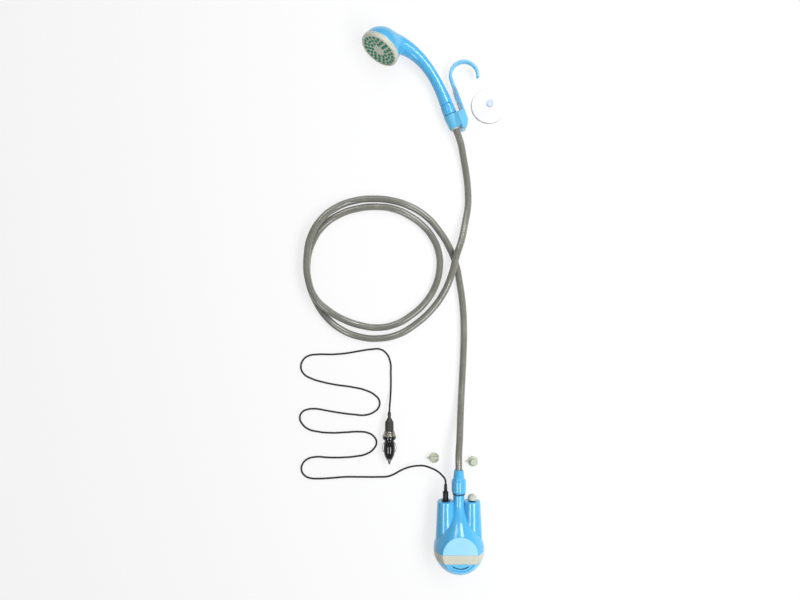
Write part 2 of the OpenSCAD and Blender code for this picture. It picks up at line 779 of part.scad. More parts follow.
module pump_plate() {
    color(stone_grey) on_pump() difference() {
        lugged_plate(plate_foot, web_foot);
        rod(seal_r + snug, plate_foot - eps, plate_foot + 2);
        rod(shaft_r + fit, plate_foot, web_foot + eps);
        for (side = [-1, 1]) translate([side * motor_screw_x, 0, 0]) {
            rod(screw_r + snug, plate_foot - eps, web_foot + eps);
            rod(screw_r + 0.8, plate_foot - eps, plate_foot + 1.4);
        }
        translate([0, pipe_y, 0]) {
            rod(pipe_bore_r, plate_foot - eps, web_foot + eps);
            rod(pipe_r + snug, web_foot - 1.6, web_foot + eps);
        }
        tube(oring_r + oring_t / 2 + snug, oring_r - oring_t / 2 - snug, web_foot - oring_t - snug,
            web_foot + eps);
    }
}

module shaft_seal() {
    color(black) on_pump() tube(seal_r, shaft_r + run_fit, plate_foot, plate_foot + 1.9);
}

module plate_oring() {
    color(black) on_pump() translate([0, 0, web_foot - oring_t / 2 - 0.05])
        rotate_extrude() translate([oring_r, 0]) circle(r = oring_t / 2);
}

module volute() {
    color(stone_grey) on_pump() difference() {
        union() {
            lugged_plate(flange_foot, plate_foot);
            rod(chamber_r + volute_t, volute_foot, plate_foot - eps);
        }
        rod(chamber_r, chamber_foot, plate_foot + eps);
        translate([0, pipe_y, 0]) rod(pipe_bore_r, plate_foot - volute_t + 0.4, plate_foot + eps);
        rod(eye_r, volute_foot - eps, chamber_foot + eps);
    }
}

module plate_screws() {
    color(steel) on_pump() around(lug_at, lug_angles) translate([0, 0, flange_foot])
        pan_screw(screw_r, screw_head_r, screw_head_h, web_top + lug_boss_h - 1.5 - flange_foot);
}

module impeller() {
    disc_foot = plate_foot - chamber_gap - vane_t;
    vane_foot = chamber_foot + 1;
    color(clear_white) on_pump() difference() {
        union() {
            rod(impeller_r, disc_foot, disc_foot + vane_t);
            rod(shaft_r + 2.2, vane_foot, disc_foot + vane_t);
            for (i = [0:vane_n - 1]) rotate([0, 0, 360 * i / vane_n]) intersection() {
                rotate([0, 0, 20]) translate([shaft_r + 1.5, -vane_t / 2, vane_foot])
                    cube([impeller_r, vane_t, disc_foot - vane_foot + 0.2]);
                rod(impeller_r - 0.4, vane_foot, disc_foot + 0.2);
            }
        }
        rod(shaft_r + press_gap, vane_foot - eps, disc_foot + vane_t + eps);
    }
}

module inlet_strainer() {
    slots = 14;
    floor_t = 1.2;
    slot_foot = strainer_foot + 2;
    color(stone_grey) on_pump() difference() {
        rod(strainer_r, strainer_foot, volute_foot);
        rod(strainer_r - floor_t, strainer_foot + floor_t, volute_foot + eps);
        for (i = [0:slots - 1]) rotate([0, 0, 360 * i / slots])
            translate([strainer_r - 2 * floor_t, -0.8, slot_foot])
                cube([3 * floor_t, 1.6, volute_foot - floor_t - slot_foot]);
    }
}

module strainer_cap() {
    foot_slots = 6;
    color(cap_blue) on_pump() difference() {
        intersection() {
            bulb(0);
            slab(-bulb_r - eps, band_foot - fit);
        }
        intersection() {
            bulb(wall);
            slab(-bulb_r, band_foot);
        }
        front_arc(slot_r, slot_w, slot_half, wall + 1);
        front_arc(groove_r, 0.8, groove_half, 0.5);
        for (i = [0:foot_slots - 1]) rotate([0, 0, 360 * i / foot_slots])
            translate([5, -1.2, -bulb_r - eps]) cube([9, 2.4, 3 * wall]);
    }
}

module outlet_pipe() {
    lean = unit([0, -pipe_y, pipe_elbow_high - pipe_elbow_low]);
    low = [0, pipe_y, pipe_elbow_low];
    high = [0, 0, pipe_elbow_high];
    route = [
        [0, pipe_y, web_foot - 1.5], low - [0, 0, pipe_bend], low + pipe_bend * lean,
        high - pipe_bend * lean, high + [0, 0, pipe_bend], high + [0, 0, 10]
    ];
    color(stone_grey) on_pump() hollow_sweep(route, pipe_r, pipe_bore_r, 12, [1, 0, 0]);
}

// Two solder tags that hang below a level
module terminals(level) {
    for (side = [-1, 1]) translate([side * terminal_x - 0.5, -2, level - terminal_len])
        cube([1, 2, terminal_len + 0.2]);
}

module dc_jack() {
    pin_r = 0.95;
    socket_foot = jack_top - dc_sleeve_len - 1;
    color(black) on_pump() translate([-tower_x, 0, 0]) {
        difference() {
            union() {
                rod(jack_bezel_r, tower_h, jack_top);
                rod(jack_r, tower_h - jack_len, tower_h + eps);
            }
            rod(dc_sleeve_r + snug, socket_foot, jack_top + eps);
        }
        rod(pin_r, socket_foot - eps, jack_top - 1.5);
        terminals(tower_h - jack_len);
    }
}

// Six-sided nut under a tower's top
module panel_nut(r, hole_r) {
    top = tower_h - tower_lid;
    difference() {
        translate([0, 0, top - panel_nut_t]) cylinder(r = r, h = panel_nut_t, $fn = 6);
        rod(hole_r, top - panel_nut_t - eps, top + eps);
    }
}

module jack_nut() {
    color(steel) on_pump() translate([-tower_x, 0, 0]) panel_nut(jack_r + 3, jack_r + snug);
}

module switch_body() {
    stop = tower_h - switch_len / 2;
    color(black) on_pump() translate([tower_x, 0, 0]) {
        difference() {
            rod(bush_r, tower_h - switch_len, tower_h + 1.5);
            rod(bush_r - 2, stop, tower_h + 1.5 + eps);
        }
        terminals(tower_h - switch_len);
    }
}

module switch_nut() {
    color(steel) on_pump() translate([tower_x, 0, 0]) panel_nut(bush_r + 3, bush_r + snug);
}

module power_button() {
    skin = 0.9;
    stem_r = bush_r - 2 - fit;
    ceiling = tower_h + 1.5 + button_travel + fit;
    stem_foot = tower_h - switch_len / 2 + button_travel + fit;
    color(rubber_grey) on_pump() translate([tower_x, 0, 0]) {
        difference() {
            union() {
                rod(button_r, button_foot, button_foot + button_h);
                translate([0, 0, button_foot + button_h]) intersection() {
                    sphere(r = button_r);
                    rod(button_r + 1, -0.1, button_r + 1);
                }
            }
            rod(bush_r + fit, button_foot - eps, ceiling);
        }
        rod(stem_r, stem_foot, ceiling + skin);
    }
}

module pump_wires() {
    color(black) on_pump() for (route = wire_routes) sweep(route, wire_r, 6, [0, -1, 0]);
}

module outlet_gasket() {
    color(black) on_pump() tube(neck_r - 0.2, spigot_r + snug, neck_h, neck_h + gasket_t);
}

module outlet_nut() {
    color(blue) on_pump() difference() {
        rotate_extrude() polygon([
            [spigot_r + fit, outlet_nut_foot], [nut_r - 1.6, outlet_nut_foot], [nut_r, outlet_nut_foot + 3],
            [nut_r, outlet_nut_top - 2], [nut_r - 1, outlet_nut_top], [sleeve_r + fit, outlet_nut_top],
            [sleeve_r + fit, nut_shoulder + shoulder_t], [tail_neck_r, nut_shoulder + shoulder_t],
            [tail_neck_r, nut_shoulder], [spigot_r + fit, nut_shoulder]
        ]);
        around(nut_r + 0.7, [for (i = [0:nut_grooves - 1]) 360 * i / nut_grooves])
            rod(1.2, outlet_nut_foot + 4, outlet_nut_top - 3);
    }
}

// Barbed tail, its flange standing on z = 0 and its tube above
module hose_tail(barb) {
    difference() {
        union() {
            rod(flange_r, 0, flange_t);
            rod(tail_r, flange_t - eps, flange_t + barb);
        }
        rod(tail_bore_r, -eps, flange_t + barb + eps);
    }
}

module pump_tail() {
    color(brass) on_pump() translate([0, 0, pump_flange_foot]) hose_tail(barb_len);
}

module pump_washer() {
    color(black) on_pump() tube(flange_r, tail_bore_r, pump_washer_foot, pump_flange_foot);
}

module hose_sleeve() {
    color(blue) on_pump() rotate_extrude() polygon([
        [hose_seat_r, sleeve_foot], [sleeve_r, sleeve_foot], [sleeve_r, outlet_nut_top + 1],
        [sleeve_tip_r, sleeve_top], [hose_seat_r, sleeve_top]
    ]);
}

hose_route = concat(
    [[0, pump_flange_top + 0.1, back_out], [0, sleeve_top, back_out]],
    hose_free,
    [on_nut_axis(cone_foot), on_nut_axis(hose_stop - 0.1)]
);
cable_route = concat([[-tower_x, dc_top + dc_relief_len, back_out]], cable_free, [car_at + [0, car_top, 0]]);
echo(hose_gap = least_gap(hose_route, hose_r, 4), cable_gap = least_gap(cable_route, cable_r, 4));

module hose() {
    color(hose_grey) hollow_sweep(hose_route, hose_r, hose_bore_r, 12);
}

module cable() {
    color(black) sweep(cable_route, cable_r, 8);
}

module hose_cone() {
    color(stone_grey) on_shower(0) rotate_extrude() polygon([
        [hose_seat_r, cone_foot], [cone_tip_r, cone_foot], [cone_r, cone_top], [tail_neck_r, cone_top],
        [tail_neck_r, foot_flange_foot], [tail_r + snug, foot_flange_foot], [tail_r + snug, hose_stop],
        [hose_seat_r, hose_stop]
    ]);
}

module head_tail() {
    color(brass) on_shower(0) translate([0, 0, foot_flange_top]) mirror([0, 0, 1])
        hose_tail(foot_flange_foot - hose_stop + barb_len - 4);
}

module head_washer() {
    color(black) on_shower(0) tube(flange_r, tail_bore_r, foot_flange_top, foot_flange_top + washer_t);
}

module foot_nut() {
    grooves = 18;
    color(blue) on_shower(handset_roll) difference() {
        rotate_extrude() polygon([
            [foot_spigot_r + fit, -0.05], [grip_r, -0.05], [grip_r, foot_nut_foot + 1],
            [grip_r - 1, foot_nut_foot], [tail_neck_r + fit, foot_nut_foot],
            [tail_neck_r + fit, foot_flange_foot - fit], [foot_spigot_r + fit, foot_flange_foot - fit]
        ]);
        around(grip_r + 0.7, [for (i = [0:grooves - 1]) 360 * i / grooves])
            rod(1, foot_nut_foot + 3, -3);
    }
}

// Handle as a chain of rounded links, thinner by a distance all over
module grip_chain(shrink, links) {
    for (i = [0:links - 1]) hull() for (t = [i / links, (i + 1) / links])
        translate([grip_at(t)[0], 0, grip_at(t)[1]]) sphere(r = grip_radius(t) - shrink, $fn = 28);
}

// Fill on the outer side between the handle and the domed back
module cheek() {
    ball_r = 0.66 * dome_r;
    end_r = grip_radius(1);
    dome_mid = [-head_out, head_up] + (dome_back + dome_r) * [-sin(head_tilt), cos(head_tilt)];
    reach = grip_at(1) - dome_mid;
    along = unit(reach);
    lean = asin((dome_r - end_r) / norm(reach));
    outward = cos(lean) * [-along[1], along[0]] + sin(lean) * along;
    ball_at = dome_mid + (dome_r - ball_r) * outward;
    hull() {
        translate([ball_at[0], 0, ball_at[1]]) sphere(r = ball_r, $fn = 44);
        translate([grip_at(1)[0], 0, grip_at(1)[1]]) sphere(r = end_r, $fn = 28);
    }
}

module handset() {
    neck_in_bezel_r = bezel_bore_r - 0.2;
    back_of_bezel = -(bezel_h + 0.2);
    color(blue) on_shower(handset_roll) difference() {
        union() {
            difference() {
                union() {
                    grip_chain(0, 10);
                    cheek();
                }
                translate([-2 * grip_r, -2 * grip_r, -4 * grip_r]) cube(4 * grip_r);
                on_head() rod(2 * head_r, back_of_bezel, 3 * head_r);
            }
            rod(foot_spigot_r, -foot_spigot_len, 1, $fn = 40);
            on_head() {
                intersection() {
                    translate([0, 0, dome_back + dome_r]) sphere(r = dome_r, $fn = 72);
                    rod(2 * head_r, dome_back - 1, back_of_bezel);
                }
                rod(neck_in_bezel_r, back_of_bezel - 0.5, shell_in_head, $fn = 48);
            }
        }
        difference() {
            grip_chain(2 * wall + 1.5, 8);
            on_head() rod(2 * head_r, back_of_bezel, 3 * head_r);
        }
        rod(tail_bore_r + 1.2, -foot_spigot_len - eps, 6, $fn = 24);
        on_head() {
            intersection() {
                translate([0, 0, dome_back + dome_r]) sphere(r = dome_r - wall, $fn = 40);
                rod(neck_in_bezel_r - wall, dome_back, back_of_bezel, $fn = 40);
            }
            rod(neck_in_bezel_r - wall, back_of_bezel - 1, shell_in_head + eps, $fn = 40);
        }
    }
}

module head_bezel() {
    color(stone_grey) on_shower(handset_roll) on_head() rotate_extrude() polygon([
        [head_r - bezel_rim, 0], [head_r - 0.8, 0], [head_r, -0.8], [head_r, -bezel_h],
        [bezel_bore_r, -bezel_h], [bezel_bore_r, plate_in_head], [head_r - bezel_rim, plate_in_head]
    ]);
}

// Spots of the nozzles, in rings of rising count
module at_nozzles() {
    for (row = [0:2]) let (count = 10 + 5 * row) for (i = [0:count - 1])
        rotate([0, 0, 360 * (i + row / 2) / count])
            translate([nozzle_ring_r + row * nozzle_step, 0, 0]) children();
}

module spray_plate() {
    color(stone_grey) on_shower(handset_roll) on_head() difference() {
        rod(bezel_bore_r - 0.2, plate_in_head - spray_t, plate_in_head - 0.05);
        at_nozzles() rod(nozzle_r + 0.15, plate_in_head - spray_t - eps, eps);
    }
}

module nozzle_sheet() {
    color(teal) on_shower(handset_roll) on_head() {
        rod(bezel_bore_r - 0.4, sheet_in_head - sheet_t, sheet_in_head);
        at_nozzles() translate([0, 0, sheet_in_head - eps])
            cylinder(r1 = nozzle_r, r2 = nozzle_r * 0.8, h = nozzle_h + spray_t + eps);
    }
}

module head_seal() {
    width = wall - 0.4;
    r_out = bezel_bore_r - 0.5;
    color(black) on_shower(handset_roll) on_head()
        tube(r_out, r_out - width, shell_in_head + press_gap, sheet_in_head - sheet_t - press_gap);
}

// Radius of the cone's seat at a level, with clearance
function seat_r(z) = cone_tip_r + (cone_r - cone_tip_r) * (z - cone_foot) / cone_len + fit;

module hook_holder() {
    plate_x = holder_out - holder_t;
    shoulder = 12;
    arm_foot = 26;
    arm_in = 0.2;
    plate_top = hook_up - 4;
    key_r = knob_r + 0.6;
    key_up = 1;
    slit = hose_r + 0.3;
    block_gap = hose_r + 1.5;
    bevel = 4;
    module flat(outline_half) {
        rotate([90, 0, 0]) linear_extrude(height = 2 * outline_half, center = true) children();
    }
    color(pale_blue) on_shower(0) difference() {
        union() {
            rotate_extrude() polygon([
                [0, collar_foot], [seat_r(collar_foot) + collar_t, collar_foot],
                [seat_r(collar_top) + collar_t, collar_top], [0, collar_top]
            ]);
            flat(holder_half) polygon([
                [block_gap, collar_top], [holder_out, collar_top], [holder_out, block_foot + 12],
                [holder_out - 6.5, block_foot], [block_gap, block_foot]
            ]);
            intersection() {
                flat(holder_half) polygon([
                    [plate_x, collar_top - 1], [holder_out, collar_top - 1], [holder_out, plate_top],
                    [plate_x, plate_top]
                ]);
                translate([plate_x - 1, 0, 0]) rotate([90, 0, 90]) linear_extrude(holder_t + 2) polygon([
                    [-holder_half, collar_top - 1], [holder_half, collar_top - 1], [holder_half, shoulder],
                    [hook_w / 2, arm_foot], [hook_w / 2, plate_top], [-hook_w / 2, plate_top],
                    [-hook_w / 2, arm_foot], [-holder_half, shoulder]
                ]);
            }
            translate([plate_x + arm_in, -hook_w / 2, arm_foot - 4])
                cube([hook_t - 2 * arm_in, hook_w, hook_up + 1 - arm_foot + 4]);
            translate([hook_x, 0, hook_up]) rotate([90, 0, 0]) {
                rotate([0, 0, 180 - hook_angle]) rotate_extrude(angle = hook_angle)
                    translate([hook_r, -hook_w / 2]) square([hook_t, hook_w]);
                rotate([0, 0, 180 - hook_angle]) translate([hook_r + hook_t / 2, 0, -hook_w / 2])
                    cylinder(r = hook_t / 2 - 0.05, h = hook_w);
            }
        }
        rotate_extrude() polygon([
            [0, collar_foot - eps], [seat_r(collar_foot - eps), collar_foot - eps],
            [seat_r(collar_top + eps), collar_top + eps], [0, collar_top + eps]
        ]);
        translate([-slit, 0, collar_foot - eps]) cube([2 * slit, 2 * holder_half, collar_len + 2 * eps]);
        translate([plate_x - eps, 0, key_up]) rotate([0, 90, 0]) cylinder(r = key_r, h = holder_t + 2 * eps);
        translate([plate_x - eps, -knob_neck_r - fit, key_up])
            cube([holder_t + 2 * eps, 2 * (knob_neck_r + fit), key_r + 5]);
        for (side = [-1, 1]) translate([holder_out, side * holder_half, block_foot - eps])
            rotate([0, 0, 45]) cube([bevel / sqrt(2), bevel / sqrt(2), 4 * block_len], center = true);
    }
}

module suction_cup() {
    rim_t = 1.2;
    lip_w = 3;
    hollow_h = 3.6;
    knob_foot = cup_h + 5;
    color(clear_white) translate(cup_at) rotate_extrude() polygon([
        [0, hollow_h], [cup_r * 0.6, hollow_h * 0.6], [cup_r - lip_w, 0], [cup_r, 0], [cup_r, rim_t],
        [cup_r * 0.8, cup_h * 0.5], [cup_r * 0.45, cup_h * 0.86], [knob_neck_r + 2, cup_h],
        [knob_neck_r, cup_h + 1], [knob_neck_r, knob_foot], [knob_r - 1, knob_foot + 0.4],
        [knob_r, knob_foot + 1.4], [knob_r, knob_foot + knob_h - 1.6], [knob_r - 2, knob_foot + knob_h],
        [0, knob_foot + knob_h + 0.6]
    ]);
}

// Rubber plug standing on its stem, its pull tab pointing along -X
module port_plug() {
    head_foot = port_stem_len;
    head_top = head_foot + port_t;
    tab_w = 5;
    tab_out = 4.5;
    difference() {
        union() {
            rotate_extrude() polygon([
                [0, 0], [port_stem_r - 0.6, 0], [port_stem_r, 1], [port_stem_r, head_foot - 0.1],
                [port_r - 0.8, head_foot], [port_r, head_foot + 0.8], [port_r, head_top - 0.8],
                [port_r - 0.8, head_top], [0, head_top]
            ]);
            translate([-port_r + 2, -1.6, head_top - eps])
                cube([2 * port_r - 4, 3.2, port_ridge_h + eps]);
            translate([0, 0, head_foot + 0.7]) linear_extrude(height = port_t - 1.4) polygon([
                [-port_r + 2, -tab_w / 2 - 1], [-port_r - tab_out + 1.5, -tab_w / 2 + 1],
                [-port_r - tab_out, 0], [-port_r - tab_out + 1.5, tab_w / 2 - 1], [-port_r + 2, tab_w / 2 + 1]
            ]);
        }
        rod(port_stem_r - 2, -eps, port_stem_len - 1);
    }
}

module port_plug_left() {
    color(rubber_grey) translate(port_left_at) port_plug();
}

module port_plug_right() {
    color(rubber_grey) translate(port_right_at + [0, 0, port_stem_len + port_t + port_ridge_h])
        rotate([180, 0, 0]) port_plug();
}

module dc_plug() {
    grooves = 3;
    pitch = 3;
    color(black) on_pump() translate([-tower_x, 0, 0]) difference() {
        rotate_extrude() polygon([
            [0, jack_top], [dc_r, jack_top], [dc_r, dc_top - 1], [dc_r - 1, dc_top], [cable_r + 1.6, dc_top],
            [cable_r + 0.8, dc_top + dc_relief_len], [0, dc_top + dc_relief_len]
        ]);
        for (i = [0:grooves - 1]) tube(dc_r, cable_r + 0.6, dc_top + 2 + i * pitch, dc_top + 3 + i * pitch);
    }
}

module dc_sleeve() {
    color(bright_metal) on_pump() translate([-tower_x, 0, 0])
        tube(dc_sleeve_r, dc_sleeve_r - 1.4, jack_top - dc_sleeve_len, jack_top);
}

module car_plug_grip() {
    shoulder = 6;
    bead_r = cable_r + 1.5;
    color(dark_grey) on_car_plug() rotate_extrude() polygon([
        [0, car_ring_top], [car_grip_r, car_ring_top], [car_grip_r, car_grip_top - shoulder],
        [car_grip_r - 1, car_grip_top - shoulder + 2], [bead_r + 0.6, car_grip_top],
        [bead_r - 0.6, car_grip_top + 1.5], [bead_r, car_top - 5], [bead_r - 0.4, car_top - 1],
        [cable_r + 0.4, car_top], [0, car_top]
    ]);
}

module car_plug_ring() {
    color(bright_metal) on_car_plug() rotate_extrude() polygon([
        [fuse_r, car_body_top], [car_flange_r - 0.4, car_body_top], [car_flange_r - 0.9, car_body_top + 2.5],
        [car_grip_r + 1.8, car_body_top + 3.2], [car_grip_r + 1, car_ring_top], [fuse_r, car_ring_top]
    ]);
}

module car_plug_body() {
    waist_r = car_r - 0.9;
    slot_in_x = contact_in - contact_travel - 0.8;
    color(black) on_car_plug() difference() {
        rotate_extrude() polygon([
            [0, car_body_foot], [car_nose_r, car_body_foot], [car_nose_r + 1.8, car_body_foot + 3.4],
            [car_r - 0.5, car_body_foot + 8.5], [car_r, car_body_foot + 15],
            [car_r - 0.1, car_body_top - 16.5], [waist_r, car_body_top - 8],
            [waist_r + 0.7, car_body_top - 4], [car_flange_r, car_body_top - 1.4],
            [car_flange_r, car_body_top], [0, car_body_top]
        ]);
        rod(car_cavity_r, car_body_foot - eps, car_body_top + eps);
        for (side = [0, 180]) rotate([0, 0, side])
            translate([slot_in_x, -contact_w / 2 - fit, contact_mid - contact_half - 2])
                cube([car_flange_r, contact_w + 2 * fit, 2 * contact_half + 4]);
    }
}

module car_plug_nose() {
    color(bright_metal) on_car_plug() rotate_extrude() polygon([
        [car_tip_r + fit, car_cap_foot], [car_nose_r - 1.2, car_cap_foot], [car_nose_r, car_body_foot],
        [car_cavity_r, car_body_foot], [car_cavity_r, car_cap_foot + cap_t],
        [car_tip_r + fit, car_cap_foot + cap_t]
    ]);
}

// Bowed spring strip on the plug's +X side
module side_contact() {
    strip_t = 0.8;
    rotate([90, 0, 0]) linear_extrude(height = contact_w, center = true) intersection() {
        translate([contact_out - contact_arc_r, contact_mid]) difference() {
            circle(r = contact_arc_r);
            circle(r = contact_arc_r - strip_t);
        }
        translate([contact_in, contact_mid - contact_half - 1])
            square([contact_sag + 1, 2 * contact_half + 2]);
    }
}

module car_contact_left() {
    color(bright_metal) on_car_plug() rotate([0, 0, 180]) side_contact();
}

module car_contact_right() {
    color(bright_metal) on_car_plug() side_contact();
}

module car_plug_tip() {
    color(bright_metal) on_car_plug() rotate_extrude() polygon([
        [0, 0], [0.8, 0], [1.2, 0.6], [car_tip_r, car_tip_len - 1.5], [car_tip_r, collar_seat],
        [car_cavity_r - fit, collar_seat], [car_cavity_r - fit, collar_seat + tip_collar_t],
        [0, collar_seat + tip_collar_t]
    ]);
}

module car_tip_spring() {
    turns = 4;
    steps = 12;
    wire = 0.45;
    coil_r = car_cavity_r - wire - 0.4;
    rise = spring_len - 2 * wire - 0.2;
    route = [for (i = [0:turns * steps])
        [coil_r * cos(360 * i / steps), coil_r * sin(360 * i / steps),
            spring_foot + wire + 0.1 + rise * i / (turns * steps)]];
    color(steel) on_car_plug() sweep(route, wire, 6);
}

module car_plug_fuse() {
    color(bright_metal) on_car_plug() rod(fuse_r, fuse_foot, car_body_top);
}

pump_body();
front_panel();
band_ring();
body_screws();
motor_can();
motor_end();
motor_magnets();
motor_armature();
motor_shaft();
motor_screws();
pump_plate();
shaft_seal();
plate_oring();
volute();
plate_screws();
impeller();
inlet_strainer();
strainer_cap();
outlet_pipe();
dc_jack();
jack_nut();
switch_body();
switch_nut();
power_button();
pump_wires();
outlet_gasket();
outlet_nut();
pump_tail();
pump_washer();
hose_sleeve();
hose();
hose_cone();
head_tail();
head_washer();
foot_nut();
handset();
head_bezel();
spray_plate();
nozzle_sheet();
head_seal();
hook_holder();
suction_cup();
port_plug_left();
port_plug_right();
dc_plug();
dc_sleeve();
cable();
car_plug_grip();
car_plug_ring();
car_plug_body();
car_plug_nose();
car_contact_left();
car_contact_right();
car_plug_tip();
car_tip_spring();
car_plug_fuse();
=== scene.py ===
"""Camp shower pump: the looks of the set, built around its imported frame."""

import json
from math import acos, asin, atan2, cos, degrees, pi, radians, sin, sqrt, tau

import bmesh
import bpy
from mathutils import Matrix, Vector


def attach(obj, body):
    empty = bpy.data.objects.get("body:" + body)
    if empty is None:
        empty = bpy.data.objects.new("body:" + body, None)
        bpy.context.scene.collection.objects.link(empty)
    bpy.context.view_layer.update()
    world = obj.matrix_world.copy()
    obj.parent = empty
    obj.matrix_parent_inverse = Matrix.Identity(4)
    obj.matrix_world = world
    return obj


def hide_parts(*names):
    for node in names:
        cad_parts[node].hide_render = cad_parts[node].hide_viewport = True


bl_info = {
    "name": "Camp Shower Pump",
    "version": (1, 0, 0),
    "blender": (4, 5, 0),
    "location": "View3D > Sidebar > Camp Shower",
    "description": "Builds the looks of a camp shower set around its packed frame",
    "category": "Object",
}

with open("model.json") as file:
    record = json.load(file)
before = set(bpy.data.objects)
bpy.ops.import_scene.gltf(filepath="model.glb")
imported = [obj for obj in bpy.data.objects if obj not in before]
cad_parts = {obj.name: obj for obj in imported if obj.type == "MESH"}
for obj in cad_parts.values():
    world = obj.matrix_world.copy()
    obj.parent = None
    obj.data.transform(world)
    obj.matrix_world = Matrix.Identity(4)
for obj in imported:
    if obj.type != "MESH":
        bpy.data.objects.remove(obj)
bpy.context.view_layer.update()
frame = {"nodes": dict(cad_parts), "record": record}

MM = 0.001
SMALL_STEPS, ROUND_STEPS, WIDE_STEPS, BULB_STEPS = 64, 96, 128, 160
GROOVE_STEPS, ARC_STEPS = 16, 24
MERGE_GAP = 0.002
CREASE = radians(34)


def srgb(red, green, blue):
    """Colour of a screen value from 0 to 255, as the linear numbers that a shader takes."""
    return tuple(((c / 255 + 0.055) / 1.055) ** 2.4 if c > 10 else c / 3295 for c in (red, green, blue))


def shift_by(x, y, z):
    return Matrix.Translation((x, y, z))


def turn_by(angle, axis):
    return Matrix.Rotation(angle, 4, axis)


# Places of the groups: each group is modelled upright in millimetres and laid down by one of these
BACK_OUT = 30
LAID_DOWN = turn_by(-pi / 2, "X")
PUMP = shift_by(0, 0, BACK_OUT * MM) @ LAID_DOWN
NUT_AT = Vector((-20, 758, 15))
NUT_TURN = radians(21)
HEAD_OUT, HEAD_UP, HEAD_TILT, HEAD_R, BEZEL_H = 81, 120, radians(126), 34.5, 9
CAR_AT = Vector((-118.5, 136.5, 11.6))


def shower_place(roll):
    """Lays the upright hand shower along its nut axis, rolled by an angle."""
    return shift_by(*NUT_AT * MM) @ turn_by(NUT_TURN, "Z") @ turn_by(roll, "Y") @ LAID_DOWN


def handset_roll():
    """Angle at which the head rests on its rim beside the holder."""
    reach = HEAD_OUT - BEZEL_H * sin(HEAD_TILT)
    first = asin((HEAD_R - NUT_AT.z) / reach)
    drop = HEAD_R * sqrt(1 - (sin(HEAD_TILT) * sin(first)) ** 2)
    return asin((drop - NUT_AT.z + 0.3) / reach)


HOLDER = shower_place(0)
HANDSET = shower_place(handset_roll())
HEAD = HANDSET @ shift_by(-HEAD_OUT * MM, 0, HEAD_UP * MM) @ turn_by(-HEAD_TILT, "Y")
CAR = shift_by(*CAR_AT * MM) @ LAID_DOWN
FLOOR = Matrix.Identity(4)


def laid(points, lying):
    """Points of a route in millimetres, where those without a height lie on the floor."""
    return [(*point, lying)[:3] for point in points]


# Routes of the hose and the cable from the pump to their far ends
HOSE_LIES, CABLE_LIES = 6.5, 2
HOSE_ROUTE = laid([
    (0, 106.6, 30), (0, 132.6, 30), (0, 157, 29), (2, 182, 24), (4, 214, 15), (6, 247, 8.5), (8, 282),
    (10, 325), (11, 369), (9, 412), (4, 449), (-3, 484), (-14, 512), (-31, 540), (-53, 565), (-83, 584),
    (-114, 594), (-145, 597), (-176, 594, 8), (-207, 583, 12), (-234, 562, 17), (-253, 531, 20),
    (-260, 495, 20), (-258, 457, 20), (-245, 424, 20), (-222, 402, 17), (-195, 386, 11), (-169, 377, 7.5),
    (-141, 373), (-110, 378), (-81, 394), (-55, 418), (-38, 447), (-31, 477), (-33, 505), (-43, 529),
    (-60, 550), (-83, 567), (-110, 579), (-142, 583), (-173, 580), (-204, 570), (-232, 551), (-251, 524),
    (-261, 487), (-258, 449), (-246, 418), (-227, 390), (-201, 369), (-170, 357), (-138, 354),
    (-103, 361), (-74, 378), (-46, 403, 8.5), (-24, 434, 13), (-11, 466, 18.5), (-3, 497, 20.5),
    (6, 524, 17), (13, 556, 11), (18, 584, 7.5), (18, 612), (15, 640, 7), (10, 668, 9), (5, 692, 12.5),
    (-3.48, 714.96, 15), (-11.87, 736.81, 15),
], HOSE_LIES)
CABLE_ROUTE = laid([
    (-22.5, 108, 30), (-23, 115, 30), (-28, 122, 28), (-37, 129, 25), (-48, 133, 20), (-59, 135, 15),
    (-69, 134, 11), (-79, 132, 8), (-90, 128, 5), (-100, 123, 3), (-110, 117), (-121, 113), (-138, 112),
    (-170, 112), (-196, 112), (-222, 110), (-243, 109), (-257, 110), (-267, 115), (-272, 124),
    (-270, 135), (-262, 143), (-247, 147), (-226, 146), (-201, 146), (-177, 148), (-159, 152),
    (-146, 161), (-141, 172), (-145, 182), (-156, 189), (-173, 191), (-194, 190), (-219, 189),
    (-243, 191), (-261, 196), (-271, 205), (-275, 215), (-271, 225), (-261, 230), (-247, 231),
    (-229, 228), (-205, 224), (-180, 221), (-161, 220), (-146, 225), (-137, 234), (-136, 245),
    (-144, 255), (-159, 263), (-184, 269), (-212, 273), (-236, 278), (-255, 284), (-268, 292),
    (-273, 303), (-270, 315), (-261, 323), (-243, 326), (-219, 326), (-194, 328), (-170, 332),
    (-149, 335), (-135, 335), (-124, 328), (-117, 313), (-116, 292), (-116, 267, 2.5), (-117, 248, 6),
    (-118, 237, 9.5), (-118.5, 227.5, 11.6),
], CABLE_LIES)


class Value:
    """A socket in one finish's node tree, with arithmetic that adds Math nodes."""

    def __init__(self, finish, socket):
        self.finish = finish
        self.socket = socket

    def math(self, operation, first, second):
        return self.finish.node("ShaderNodeMath", {"operation": operation}, {0: first, 1: second})

    def __add__(self, other):
        return self.math("ADD", self, other)

    def __sub__(self, other):
        return self.math("SUBTRACT", self, other)

    def __rsub__(self, other):
        return self.math("SUBTRACT", other, self)

    def __mul__(self, other):
        return self.math("MULTIPLY", self, other)

    __radd__ = __add__
    __rmul__ = __mul__

    def ramp(self, low, high):
        """0 below low, 1 above high, and a smooth step between."""
        settings = {"interpolation_type": "SMOOTHSTEP"}
        inputs = {"Value": self, "From Min": low, "From Max": high}
        return self.finish.node("ShaderNodeMapRange", settings, inputs)


